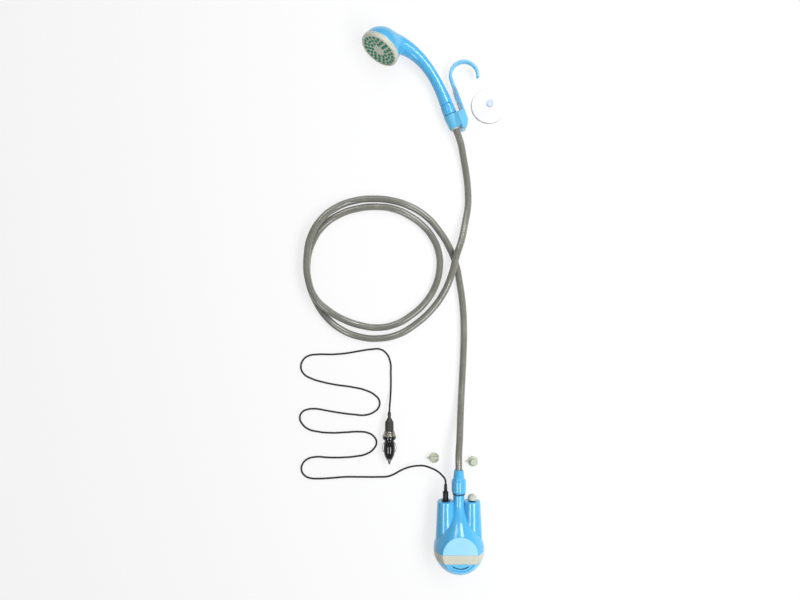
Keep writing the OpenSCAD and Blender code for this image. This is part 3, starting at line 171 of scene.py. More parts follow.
class Finish:
    """A procedural material that is written as expressions."""

    def __init__(self, name):
        self.material = bpy.data.materials.new(name)
        self.material.use_nodes = True
        self.tree = self.material.node_tree
        self.tree.nodes.clear()
        self.shader = self.tree.nodes.new("ShaderNodeBsdfPrincipled")
        self.out = self.tree.nodes.new("ShaderNodeOutputMaterial")
        self.tree.links.new(self.shader.outputs[0], self.out.inputs["Surface"])
        self.at = self.node("ShaderNodeTexCoord", {}, {}, "Object")

    def node(self, kind, settings, inputs, out=0):
        made = self.tree.nodes.new(kind)
        for key, value in settings.items():
            setattr(made, key, value)
        for key, value in inputs.items():
            self.feed(made.inputs[key], value)
        return Value(self, made.outputs[out])

    def feed(self, socket, value):
        if isinstance(value, Value):
            self.tree.links.new(value.socket, socket)
        else:
            socket.default_value = value

    def set(self, **sockets):
        for key, value in sockets.items():
            self.feed(self.shader.inputs[key.replace("_", " ")], value)

    def spread(self, stretch, source=None):
        """Coordinates stretched along their axes."""
        return self.node("ShaderNodeMapping", {}, {"Vector": source or self.at, "Scale": stretch})

    def noise(self, scale, detail, source=None):
        inputs = {"Vector": source or self.at, "Scale": scale, "Detail": detail}
        return self.node("ShaderNodeTexNoise", {}, inputs)

    def cells(self, scale):
        return self.node("ShaderNodeTexVoronoi", {}, {"Vector": self.at, "Scale": scale})

    def mix(self, share, first, second):
        """Colour between two colours."""
        shades = [c if isinstance(c, Value) else (*c[:3], 1.0) for c in (first, second)]
        return self.node("ShaderNodeMix", {"data_type": "RGBA"}, {0: share, 6: shades[0], 7: shades[1]}, 2)

    def bump(self, height, depth):
        normal = self.node("ShaderNodeBump", {}, {"Strength": 1.0, "Distance": depth, "Height": height})
        self.feed(self.shader.inputs["Normal"], normal)


# Depths of the finest bumps in metres, and the stretch of lines drawn along a part
FINE_GRAIN, RUBBER_GRAIN, METAL_GRAIN = 0.000015, 0.00006, 0.00002
DRAWN_ALONG = (1.0, 0.1, 1.0)


def shade(colour, factor):
    return tuple(min(1.0, c * factor) for c in colour[:3])


def moulded(name, colour, rough, grain=0.00003, grain_scale=1300, coat=0.0):
    """Moulded plastic: slow drift of tone, fine moulding grain, handling marks and hairline scuffs."""
    f = Finish(name)
    drift = f.noise(16, 2)
    flow = f.noise(55, 4)
    scuff = f.noise(90, 5, f.spread((1.0, 0.08, 1.0))).ramp(0.63, 0.74)
    dust = (1 - f.cells(420).ramp(0.03, 0.09)) * f.noise(30, 2).ramp(0.45, 0.7)
    tone = f.mix(drift.ramp(0.3, 0.7), shade(colour, 0.95), shade(colour, 1.03))
    tone = f.mix(scuff * 0.10, tone, shade(colour, 1.25))
    tone = f.mix(dust * 0.16, tone, shade(colour, 0.6))
    f.set(Base_Color=tone, Roughness=rough + flow.ramp(0.3, 0.75) * 0.10 + scuff * 0.12)
    f.set(Coat_Weight=coat, Coat_Roughness=0.035, IOR=1.5, Specular_IOR_Level=0.3)
    f.bump(f.noise(grain_scale, 2) + f.noise(240, 1) * 0.6, grain)
    return f.material


def rubbery(name, colour, rough):
    """Soft moulded rubber: matt, faintly mottled, with a talc-like bloom and a fine open grain."""
    f = Finish(name)
    mottle = f.noise(130, 4)
    bloom = f.noise(38, 3).ramp(0.52, 0.78)
    tone = f.mix(mottle.ramp(0.3, 0.7), shade(colour, 0.96), shade(colour, 1.04))
    tone = f.mix(bloom * 0.14, tone, shade(colour, 1.25))
    f.set(Base_Color=tone, Roughness=rough + mottle * 0.12, IOR=1.45)
    f.bump(f.noise(1900, 3) + f.cells(900) * 0.5, RUBBER_GRAIN)
    return f.material


def extruded(name, colour, light, rough, length_rings, around_lines, coat=0.0):
    """Extruded vinyl on a cord: drawn lines along it, faint die rings across it, and a worn bloom."""
    f = Finish(name)
    along = f.node("ShaderNodeUVMap", {"uv_map": "UVMap"}, {})
    lines = f.noise(1.0, 3, f.spread((length_rings * 0.02, around_lines, 1.0), along))
    rings = f.noise(1.0, 2, f.spread((length_rings, 0.6, 1.0), along))
    bloom = f.noise(45, 4).ramp(0.45, 0.75)
    tone = f.mix(lines.ramp(0.35, 0.65), shade(colour, 0.9), shade(colour, 1.07))
    tone = f.mix(bloom * 0.3, tone, light)
    f.set(Base_Color=tone, Roughness=rough + bloom * 0.10 + lines * 0.06, IOR=1.5)
    f.set(Coat_Weight=coat, Coat_Roughness=0.07)
    f.bump(lines + rings * 0.4 + f.noise(1500, 2) * 0.3, 0.00005)
    return f.material


def metal(name, colour, rough, draw=(1.0, 1.0, 1.0)):
    """Drawn or plated metal: fine draw lines, uneven polish and a little tarnish."""
    tarnish = 0.12
    f = Finish(name)
    lines = f.noise(700, 3, f.spread(draw))
    stain = f.noise(70, 4).ramp(0.45, 0.8)
    tone = f.mix(stain * tarnish * 2, colour, shade(colour, 0.72))
    tone = f.mix(lines.ramp(0.4, 0.7) * 0.1, tone, shade(colour, 1.15))
    f.set(Base_Color=tone, Metallic=1.0, Roughness=rough + lines * 0.10 + stain * tarnish)
    f.bump(lines + f.noise(2600, 2) * 0.5, METAL_GRAIN)
    return f.material


def clear_vinyl(name, colour):
    """Soft clear vinyl: milky, with flow marks, finger smears and a painted shade crescent along its rim."""
    f = Finish(name)
    flow = f.noise(40, 4, f.spread((1.0, 1.0, 2.5)))
    smear = f.noise(26, 3).ramp(0.5, 0.75)
    height = f.node("ShaderNodeSeparateXYZ", {}, {0: f.at}, 2)
    tone = f.mix(flow.ramp(0.35, 0.7), shade(colour, 0.97), colour)
    tone = f.mix(height.ramp(0.011, 0.017), tone, srgb(200, 215, 251))
    # Painted shade: a grey crescent along the rim, darkest on the side furthest from this point, the side
    # turned away from the light
    rim_shade_centre = (0.0564, 0.7614, 0.001)
    rim_shade_reach = f.node("ShaderNodeVectorMath", {"operation": "DISTANCE"}, {0: f.at, 1: rim_shade_centre}, "Value")
    tone = f.mix(rim_shade_reach.ramp(0.0303, 0.0318) * 0.85, tone, srgb(120, 122, 124))
    f.set(Base_Color=tone, Roughness=0.14 + smear * 0.14 + flow * 0.05)
    f.set(Transmission_Weight=0.95, IOR=1.2, Coat_Weight=0.1)
    f.bump(f.noise(220, 3) + flow * 0.6, 0.00008)
    return f.material


def wound(name, colour):
    """Enamelled winding: wires side by side with a lacquer gloss."""
    f = Finish(name)
    inputs = {"Vector": f.at, "Scale": 320.0, "Distortion": 0.6}
    wires = f.node("ShaderNodeTexWave", {"bands_direction": "X"}, inputs)
    tone = f.mix(wires.ramp(0.2, 0.8), shade(colour, 0.55), shade(colour, 1.1))
    f.set(Base_Color=tone, Metallic=0.75, Roughness=0.32 + f.noise(90, 3) * 0.15)
    f.bump(wires, 0.0002)
    return f.material


FINISHES = {}


def make_finishes(colours):
    """One finish for each material slot of the record."""
    FINISHES.update(
        blue_shell=moulded("moulded blue", colours.shell_blue, 0.12, FINE_GRAIN, coat=0.55),
        panel_blue=moulded("pale panel", colours.panel_blue, 0.34, 0.00005, 1700),
        band_grey=moulded("stone grey", colours.stone_grey, 0.40, 0.00006, 1500),
        cap_blue=moulded("cap blue", colours.cap_blue, 0.13, FINE_GRAIN, coat=0.5),
        holder_blue=moulded("holder blue", colours.holder_blue, 0.22, FINE_GRAIN, coat=0.35),
        soft_grey=rubbery("grey rubber", colours.soft_grey, 0.62),
        nozzle_teal=rubbery("nozzle rubber", colours.nozzle_teal, 0.5),
        seal_black=rubbery("seal rubber", srgb(26, 26, 27), 0.6),
        hose_grey=extruded("hose vinyl", colours.hose_grey, srgb(160, 162, 152), 0.16, 1400, 26, 0.8),
        lead_black=extruded("cable vinyl", colours.lead_black, srgb(20, 20, 21), 0.55, 900, 12),
        cup_clear=clear_vinyl("clear vinyl", colours.cup_clear),
        plug_black=moulded("plug black", colours.plug_black, 0.10, FINE_GRAIN, coat=0.6),
        grip_grey=moulded("grip grey", colours.grip_grey, 0.42, 0.00008, 1100),
        bright_metal=metal("bright plate", srgb(158, 155, 144), 0.22),
        plain_steel=metal("plain steel", srgb(168, 168, 172), 0.26, DRAWN_ALONG),
        magnet=rubbery("ferrite", srgb(58, 58, 60), 0.55),
        winding=wound("winding", srgb(196, 120, 66)),
        tail_brass=metal("tail brass", srgb(205, 170, 96), 0.2, DRAWN_ALONG),
        works_white=moulded("works white", srgb(226, 230, 232), 0.36),
    )
    FINISHES["lead_plug"] = moulded("lead plug", colours.lead_black, 0.33, 0.00007, 1500)


def mesh_of(bm, name):
    """Mesh of a shape, which is used up."""
    mesh = bpy.data.meshes.new(name)
    bm.to_mesh(mesh)
    bm.free()
    return mesh


def shown(name, data):
    """Object in the scene for a mesh, a curve, a lamp or a camera."""
    made = bpy.data.objects.new(name, data)
    bpy.context.scene.collection.objects.link(made)
    return made


def turned(points, closed=False, steps=ROUND_STEPS):
    """Shape spun about z from (radius, height, rounding) points in millimetres."""
    bm = bmesh.new()
    verts = [bm.verts.new((p[0], 0, p[1])) for p in points]
    for a, b in zip(verts, verts[1:] + (verts[:1] if closed else [])):
        bm.edges.new((a, b))
    for vert, point in zip(verts, points):
        if len(point) > 2:
            bmesh.ops.bevel(
                bm, geom=[vert], offset=point[2], affect="VERTICES", segments=5, profile=0.5, material=-1
            )
    bmesh.ops.spin(
        bm, geom=bm.verts[:] + bm.edges[:], cent=(0, 0, 0), axis=(0, 0, 1), angle=tau, steps=steps,
        use_merge=True, use_duplicate=False,
    )
    return cleaned(bm)


def cleaned(bm):
    bmesh.ops.remove_doubles(bm, verts=bm.verts[:], dist=MERGE_GAP)
    bmesh.ops.recalc_face_normals(bm, faces=bm.faces[:])
    return bm


def moved(bm, matrix):
    bmesh.ops.transform(bm, matrix=matrix, verts=bm.verts[:])
    return bm


def shifted(bm, x, y=0.0, z=0.0):
    return moved(bm, shift_by(x, y, z))


def round_axis(make, count, out=0.0, start=0.0):
    """Like shapes spaced evenly round the z axis."""
    shapes = []
    for i in range(count):
        turn = turn_by(tau * (i + start) / count, "Z")
        shapes.append(moved(make(), turn @ shift_by(out, 0, 0)))
    return shapes


def sliced(bm, point, outward):
    """Cuts away what lies beyond a plane and closes the cut."""
    geom = bm.verts[:] + bm.edges[:] + bm.faces[:]
    bmesh.ops.bisect_plane(bm, geom=geom, plane_co=point, plane_no=outward, dist=0.0005, clear_outer=True)
    rim = [e for e in bm.edges if e.is_boundary]
    bmesh.ops.holes_fill(bm, edges=rim, sides=0)
    return bm


def rounded(bm, chosen, radius, segments=3):
    """Rounds the edges that a test picks."""
    edges = [e for e in bm.edges if chosen(e)]
    bmesh.ops.bevel(
        bm, geom=edges, offset=radius, affect="EDGES", segments=segments, profile=0.5, material=-1,
        clamp_overlap=True,
    )
    return bm


def is_sharp(edge, least=0.6):
    return len(edge.link_faces) == 2 and edge.calc_face_angle(0.0) > least


def slab(outline, thickness):
    """Plate with its outline in x and z, centred on y = 0."""
    bm = bmesh.new()
    face = bm.faces.new([bm.verts.new((x, -thickness / 2, z)) for x, z in outline])
    pushed = bmesh.ops.extrude_face_region(bm, geom=[face], use_keep_orig=True)
    verts = [g for g in pushed["geom"] if isinstance(g, bmesh.types.BMVert)]
    bmesh.ops.translate(bm, verts=verts, vec=(0, thickness, 0))
    return cleaned(bm)


def brick(low, high):
    bm = bmesh.new()
    bmesh.ops.create_cube(bm, size=1.0)
    size = [b - a for a, b in zip(low, high)]
    middle = [(a + b) / 2 for a, b in zip(low, high)]
    return moved(bm, Matrix.Translation(middle) @ Matrix.Diagonal((*size, 1.0)))


def rod(radius, foot, top, steps=32):
    return turned([(0, foot), (radius, foot), (radius, top), (0, top)], steps=steps)


def swept(path, profile):
    """Closed bar along a path of frames: profile gives the start outline, each frame a matrix for it."""
    bm = bmesh.new()
    verts = [bm.verts.new(path[0] @ Vector(p)) for p in profile]
    edges = [bm.edges.new((a, b)) for a, b in zip(verts, verts[1:] + verts[:1])]
    bm.faces.new(verts)
    for place in path[1:]:
        pushed = bmesh.ops.extrude_edge_only(bm, edges=edges)["geom"]
        edges = [g for g in pushed if isinstance(g, bmesh.types.BMEdge) and g.is_boundary]
        fresh = [g for g in pushed if isinstance(g, bmesh.types.BMVert)]
        for vert, point in zip(fresh, profile):
            vert.co = place @ Vector(point)
    bmesh.ops.holes_fill(bm, edges=[e for e in bm.edges if e.is_boundary], sides=0)
    return cleaned(bm)


def gathered(*parts):
    """Several closed shapes as one mesh."""
    whole = bmesh.new()
    for part in parts:
        mesh = mesh_of(part, "part")
        whole.from_mesh(mesh)
        bpy.data.meshes.remove(mesh)
    return whole


def hulled(bm):
    """Tight skin round all points of a shape."""
    bmesh.ops.delete(bm, geom=bm.edges[:] + bm.faces[:], context="EDGES_FACES")
    inner = bmesh.ops.convex_hull(bm, input=bm.verts[:])
    spare = {g for g in inner["geom_interior"] + inner["geom_unused"] if isinstance(g, bmesh.types.BMVert)}
    bmesh.ops.delete(bm, geom=list(spare), context="VERTS")
    return cleaned(bm)


def ball_at(middle, radius):
    bm = bmesh.new()
    bmesh.ops.create_uvsphere(bm, u_segments=64, v_segments=40, radius=radius)
    return shifted(bm, *middle)


def worked(bm, make):
    """Runs a modifier on a shape and returns the result."""
    mesh = mesh_of(bm, "stock")
    stock = shown("stock", mesh)
    make(stock)
    done = bpy.data.meshes.new_from_object(stock.evaluated_get(bpy.context.evaluated_depsgraph_get()))
    bpy.data.objects.remove(stock)
    bpy.data.meshes.remove(mesh)
    result = bmesh.new()
    result.from_mesh(done)
    bpy.data.meshes.remove(done)
    return result


def combined(operation, base, *tools):
    """Boolean of a shape and others, which may overlap each other."""
    mesh = mesh_of(gathered(*tools), "tool")
    cutter = shown("tool", mesh)

    def boolean(stock):
        step = stock.modifiers.new("boolean", "BOOLEAN")
        step.object = cutter
        step.operation = operation
        step.solver = "EXACT"
        step.use_self = True

    result = worked(base, boolean)
    bpy.data.objects.remove(cutter)
    bpy.data.meshes.remove(mesh)
    bmesh.ops.remove_doubles(result, verts=result.verts[:], dist=MERGE_GAP)
    return result


def carved(base, *tools):
    return combined("DIFFERENCE", base, *tools)


def fused(base, *others):
    return combined("UNION", base, *others)


def piece(name, bm, place, body, slot, stands_for=(), crease=CREASE, flat_faces=False, finish=None):
    """Turns a shape in millimetres into a finished piece that rides on a body."""
    moved(bm, place @ Matrix.Scale(MM, 4))
    for face in bm.faces:
        face.smooth = True
    for edge in bm.edges:
        edge.smooth = edge.calc_face_angle(0.0) < crease
    mesh = mesh_of(bm, name)
    mesh.materials.append(FINISHES[finish or slot])
    made = shown(name, mesh)
    if flat_faces:
        made.modifiers.new("even shading", "WEIGHTED_NORMAL").keep_sharp = True
    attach(made, body)
    if stands_for:
        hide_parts(*stands_for)


def colour_property(label, about, values):
    return bpy.props.FloatVectorProperty(
        name=label, description=about, subtype="COLOR", size=3, min=0.0, max=1.0, default=srgb(*values)
    )


def length_property(label, about, millimetres):
    return bpy.props.FloatProperty(
        name=label, description=about, subtype="DISTANCE", unit="LENGTH", min=0.0, default=millimetres * MM
    )


class ShowerColours(bpy.types.PropertyGroup):
    """Colours of the finishes."""

    shell_blue: colour_property("Shell", "Blue of the shell, the nuts and the hand shower", (84, 184, 235))
    panel_blue: colour_property("Panel", "Pale blue of the front panel", (158, 222, 252))
    stone_grey: colour_property("Band", "Grey of the band, the bezel and the spray plate", (206, 208, 192))
    cap_blue: colour_property("Cap", "Blue of the strainer cap", (108, 203, 250))
    holder_blue: colour_property("Holder", "Blue of the hook holder", (106, 192, 232))
    soft_grey: colour_property("Rubber", "Grey of the button and the port plugs", (196, 201, 183))
    nozzle_teal: colour_property("Nozzles", "Green of the spray nozzles", (25, 141, 107))
    hose_grey: colour_property("Hose", "Grey of the hose", (122, 122, 113))
    lead_black: colour_property("Lead", "Black of the cable and its plug", (9, 9, 10))
    cup_clear: colour_property("Cup", "Tint of the suction cup", (250, 250, 254))
    plug_black: colour_property("Car plug", "Black of the car plug's body", (18, 18, 18))
    grip_grey: colour_property("Grip", "Grey of the car plug's grip", (60, 61, 55))


class ShowerSizes(bpy.types.PropertyGroup):
    """Sizes that a user would change."""

    hose_diameter: length_property("Hose", "Diameter of the hose", 12)
    cable_diameter: length_property("Cable", "Diameter of the cable", 3.2)
    bulb_radius: length_property("Bulb", "Radius of the pump's bulb", 43)
    front_out: length_property("Front", "From the pump's axis to its flat front", 31)
    wall: length_property("Wall", "Wall of the moulded shells", 2.5)
    flat_rounding: length_property("Flat rounding", "Rounding where the bulb meets its flats", 0.9)
    camera_height: length_property("Camera height", "Height of the camera above the floor", 1050)


def sizes():
    return bpy.context.scene.shower_sizes


def bulb_r():
    return sizes().bulb_radius / MM


def front_out():
    return sizes().front_out / MM


def face_r():
    """Radius of the pump's flat front."""
    return sqrt(bulb_r() ** 2 - front_out() ** 2)


BAND_TOP, BAND_FOOT = -0.2, -15.2
FLARE_H, FLARE_LEVELS, NECK_R, NECK_H = 74, 52, 9.6, 91
TOWER_X, TOWER_H = 22.5, 80


def flattened(bm, shrink, rounding):
    """Cuts the pump's flat front and flat back."""
    for at, side in ((-(front_out() - shrink), -1), (BACK_OUT - shrink, 1)):
        sliced(bm, (0, at, 0), (0, side, 0))
        if rounding:
            rounded(
                bm, lambda e: all(abs(v.co.y - at) < 0.001 for v in e.verts) and is_sharp(e, 0.2), rounding
            )
    return bm


def flare_radius(z):
    level = min(1.0, max(0.0, z / FLARE_H))
    return NECK_R + (bulb_r() - NECK_R) * (1 + cos(pi * level)) / 2


def flared(shrink, foot, top, rounding=0.0):
    """Bulb that narrows to the neck, cut by the pump's flats."""
    outline = [(0, foot), (bulb_r() - shrink, foot)]
    for i in range(FLARE_LEVELS + 1):
        z = top * (i / FLARE_LEVELS)
        outline.append((flare_radius(z) - shrink, z))
    outline.append((0, top))
    return flattened(turned(outline, steps=BULB_STEPS), shrink, rounding)


def ball(shrink, foot, top, rounding=0.0):
    """Slice of the bulb between its flats."""
    r = bulb_r() - shrink
    foot = max(foot, -r)
    turn = [asin(max(-1.0, h / r)) for h in (foot, top)]
    arc = [turn[0] + (turn[1] - turn[0]) * i / ARC_STEPS for i in range(ARC_STEPS + 1)]
    outline = [(0, foot)] + [(r * cos(a), r * sin(a)) for a in arc] + [(0, top)]
    return flattened(turned(outline, steps=BULB_STEPS), shrink, rounding)


def facing_front(bm):
    """Lays a shape that stands on z = 0 into the pump's flat front: its z points out of the front."""
    return moved(bm, shift_by(0, -front_out(), 0) @ turn_by(pi / 2, "X"))


def front_arc(radius, width, half, depth):
    """Round-ended groove round the flat front, below its middle."""
    start = radians(270 - half)
    bm = bmesh.new()
    low, high = radius - width / 2, radius + width / 2
    corners = [(low, -depth), (high, -depth), (high, 1), (low, 1)]
    face = bm.faces.new([bm.verts.new((x, 0, z)) for x, z in corners])
    bmesh.ops.rotate(bm, verts=bm.verts[:], cent=(0, 0, 0), matrix=Matrix.Rotation(start, 3, "Z"))
    bmesh.ops.spin(
        bm, geom=[face] + list(face.edges) + list(face.verts), cent=(0, 0, 0), axis=(0, 0, 1),
        angle=2 * radians(half), steps=40, use_merge=False, use_duplicate=False,
    )
    bmesh.ops.holes_fill(bm, edges=[e for e in bm.edges if e.is_boundary], sides=0)
    cleaned(bm)
    ends = [
        shifted(rod(width / 2, -depth, 1, 20), radius * cos(a), radius * sin(a))
        for a in (start, start + 2 * radians(half))
    ]
    return facing_front(gathered(bm, *ends))


CAMERA_AT = (-0.100, 0.421)
STAGE_MID = Vector((-0.1, 0.42, 0.0))
FLOOR_HALF, FLOOR_Z = 4.0, -0.0006


class SHOWER_OT_stage(bpy.types.Operator):
    """Make the finishes, the camera, the floor and the studio light"""

    bl_idname = "shower.stage"
    bl_label = "Stage"

    def execute(self, context):
        scene = context.scene
        make_finishes(scene.shower_colours)
        scene.view_settings.view_transform = "Standard"
        camera = shown("camera", bpy.data.cameras.new("camera"))
        camera.data.lens = 27
        camera.data.sensor_width = 36
        camera.location = (*CAMERA_AT, sizes().camera_height)
        scene.camera = camera
        self.floor()
        self.light(scene)
        return {"FINISHED"}

    def floor(self):
        bm = bmesh.new()
        bmesh.ops.create_grid(bm, x_segments=2, y_segments=2, size=FLOOR_HALF)
        mesh = mesh_of(bm, "floor")
        floor = shown("floor", mesh)
        floor.location = (STAGE_MID.x, STAGE_MID.y, FLOOR_Z)
        f = Finish("pale floor")
        f.set(Base_Color=(0.97, 0.97, 0.97, 1.0), Roughness=0.9)
        kinds = ("Is Camera Ray", "Is Glossy Ray", "Is Transmission Ray")
        rays = [f.node("ShaderNodeLightPath", {}, {}, kind) for kind in kinds]
        seen = rays[0].math("MAXIMUM", rays[0].math("MAXIMUM", rays[0], rays[1]), rays[2])
        glow = f.node("ShaderNodeEmission", {}, {"Color": (1, 1, 1, 1), "Strength": 1.0})
        plain = Value(f, f.shader.outputs[0])
        mixed = f.node("ShaderNodeMixShader", {}, {0: seen * 0.75, 1: plain, 2: glow})
        f.feed(f.out.inputs["Surface"], mixed)
        mesh.materials.append(f.material)

    def light(self, scene):
        world = bpy.data.worlds.new("studio")
        world.use_nodes = True
        background = world.node_tree.nodes["Background"]
        background.inputs["Color"].default_value = (0.97, 0.98, 1.0, 1.0)
        background.inputs["Strength"].default_value = 0.30
        scene.world = world
        # Name, place, width and length, power, whether it fills, whether it shines
        lamps = (
            ("left by the pump", (-0.62, -0.26, 1.10), (0.26, 0.52), 4.6, False, True),
            ("right by the pump", (0.42, -0.26, 1.10), (0.30, 0.52), 6.0, False, True),
            ("left by the shower", (-0.62, 1.50, 1.10), (0.34, 0.60), 4.0, False, True),
            ("right by the shower", (0.42, 1.43, 1.10), (0.46, 0.70), 10.5, False, True),
            ("soft top", (-0.10, 1.40, 0.90), (1.0, 0.5), 3.4, True, True),
            ("fill", (0.60, 0.30, 1.10), (0.5, 1.6), 16.0, True, False),
        )
        for name, at, size, power, fills, shines in lamps:
            lamp = bpy.data.lights.new(name, "AREA")
            lamp.shape = "RECTANGLE"
            lamp.size, lamp.size_y = size
            lamp.energy = power
            item = shown(name, lamp)
            item.location = at
            item.visible_diffuse, item.visible_glossy = fills, shines
            aim = STAGE_MID - Vector(at)
            if name == "soft top":
                item.rotation_euler = (atan2(aim.y, -aim.z), 0, 0)
            else:
                item.rotation_euler = (0, atan2(-aim.x, -aim.z), 0)


def cord_piece(name, route, diameter, slot):
    curve = bpy.data.curves.new(name, "CURVE")
    curve.dimensions = "3D"
    curve.resolution_u = 8
    curve.bevel_depth = diameter / 2
    curve.bevel_resolution = 7
    curve.use_fill_caps = True
    spline = curve.splines.new("BEZIER")
    spline.bezier_points.add(len(route) - 1)
    for point, at in zip(spline.bezier_points, route):
        point.co = Vector(at) * MM
        point.handle_left_type = point.handle_right_type = "AUTO"
    curve.materials.append(FINISHES[slot])
    made = shown(name, curve)
    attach(made, "pump")
    return made


class SHOWER_OT_hose(bpy.types.Operator):
    """Lay the hose in its two loose turns"""

    bl_idname = "shower.hose"
    bl_label = "Hose"

    def execute(self, context):
        d = sizes().hose_diameter
        hose = cord_piece("hose_line", HOSE_ROUTE, d, "hose_grey")
        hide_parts("hose")
        return {"FINISHED"}


class SHOWER_OT_cable(bpy.types.Operator):
    """Lay the cable in its flat folds"""

    bl_idname = "shower.cable"
    bl_label = "Cable"

    def execute(self, context):
        d = sizes().cable_diameter
        cable = cord_piece("cable_line", CABLE_ROUTE, d, "lead_black")
        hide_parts("cable")
        return {"FINISHED"}


class SHOWER_OT_shell(bpy.types.Operator):
    """Model the pump's flared shell with its two towers"""

    bl_idname = "shower.shell"
    bl_label = "Pump shell"

    def execute(self, context):
        wall = sizes().wall / MM
        tower = [(0, 0), (17.8, 0), (14.05, TOWER_H, 1.6), (12.4, TOWER_H), (0, TOWER_H)]
        inside = [(0, 0), (15.3, 0), (11.6, TOWER_H - 3), (0, TOWER_H - 3)]
        boss_foot, boss_r = NECK_R - front_out(), face_r() + 0.2
        boss = turned([(0, boss_foot), (boss_r, boss_foot), (boss_r, 0, 0.5), (0, 0)], steps=BULB_STEPS)
        boss = sliced(facing_front(boss), (0, 0, BAND_TOP), (0, 0, -1))
        spigot = rod(8, NECK_H - 1, NECK_H + 12, SMALL_STEPS)
        shell = flared(0, BAND_TOP, NECK_H, sizes().flat_rounding / MM)
        added = [shifted(turned(tower), side * TOWER_X) for side in (-1, 1)]
        shell = fused(shell, *added, boss, spigot)
        recess = rod(face_r() - 0.7, -1.2, 1, BULB_STEPS)
        cut = [shifted(turned(inside), side * TOWER_X) for side in (-1, 1)]
        cut += [
            flared(wall, BAND_TOP - 1, 46.6),
            sliced(facing_front(recess), (0, 0, BAND_TOP - 0.5), (0, 0, -1)),
            rod(3.6, 46, NECK_H + 13),
            shifted(rod(4.6, TOWER_H - 4, TOWER_H + 1), -TOWER_X),
            shifted(rod(6.1, TOWER_H - 4, TOWER_H + 1), TOWER_X),
        ]
        shell = carved(shell, *cut)
        piece("pump_shell", shell, PUMP, "pump", "blue_shell", ["pump_body"], flat_faces=True)
        return {"FINISHED"}


class SHOWER_OT_front(bpy.types.Operator):
    """Model the front panel, the band and the strainer cap"""

    bl_idname = "shower.front"
    bl_label = "Pump front"

    def execute(self, context):
        self.panel()
        self.band(sizes().wall / MM)
        self.cap(sizes().wall / MM)
        return {"FINISHED"}

    def panel(self):
        bm = facing_front(rod(face_r() - 0.85, -1.15, 0, BULB_STEPS))
        sliced(bm, (0, 0, BAND_TOP + 0.1), (0, 0, -1))
        front = -front_out()
        rounded(bm, lambda e: all(abs(v.co.y - front) < 0.001 for v in e.verts) and is_sharp(e), 0.45)
        piece("panel_face", bm, PUMP, "pump", "panel_blue", ["front_panel"], flat_faces=True)

    def band(self, wall):
        ring = ball(0, BAND_FOOT, BAND_TOP - 0.1)
        rounded(ring, lambda e: is_sharp(e, 0.35), 0.4)
        lips = []
        for foot, top in ((BAND_TOP - 1, BAND_TOP + 3.5), (BAND_FOOT - 3.5, BAND_FOOT + 1)):
            hollow = ball(wall + 1.9, foot - 1, top + 1)
            lips.append(carved(ball(wall + 0.3, foot, top), hollow))
        web_foot, web_top = BAND_FOOT + 3, BAND_FOOT + 6
        hub = rod(12.5, web_foot - 1, web_top + 1, SMALL_STEPS)
        ring = carved(ring, ball(wall, web_top, BAND_TOP + 1), ball(wall, BAND_FOOT - 1, web_foot), hub)
        tabs = [ball(wall - 0.2, level, level + 0.8) for level in (BAND_TOP - 0.95, BAND_FOOT + 0.15)]
        tabs = carved(gathered(*tabs), ball(wall + 0.5, BAND_FOOT - 1, BAND_TOP + 1))
        ring = fused(ring, *lips, tabs)
        piece("band_face", ring, PUMP, "pump", "band_grey", ["band_ring"], flat_faces=True)

    def cap(self, wall):
        cap = ball(0, -bulb_r(), BAND_FOOT - 0.3, sizes().flat_rounding / MM)
        rounded(cap, lambda e: all(abs(v.co.z - BAND_FOOT + 0.3) < 0.001 for v in e.verts), 0.4)
        feet = round_axis(lambda: brick((5, -1.2, -bulb_r() - 1), (14, 1.2, -bulb_r() + 7)), 6)
        slot_r, groove_r = 0.53 * face_r() - 0.47 * BAND_FOOT, face_r() - 2.7
        grooves = [
            front_arc(slot_r, 2.0, degrees(acos((3.8 - BAND_FOOT) / slot_r)), wall + 1),
            front_arc(groove_r, 1.3, degrees(acos((1.4 - BAND_FOOT) / groove_r)), 1.3),
        ]
        cap = carved(cap, ball(wall, -bulb_r(), BAND_FOOT + 1), *grooves, *feet)
        piece("cap_face", cap, PUMP, "strainer", "cap_blue", ["strainer_cap"], flat_faces=True)


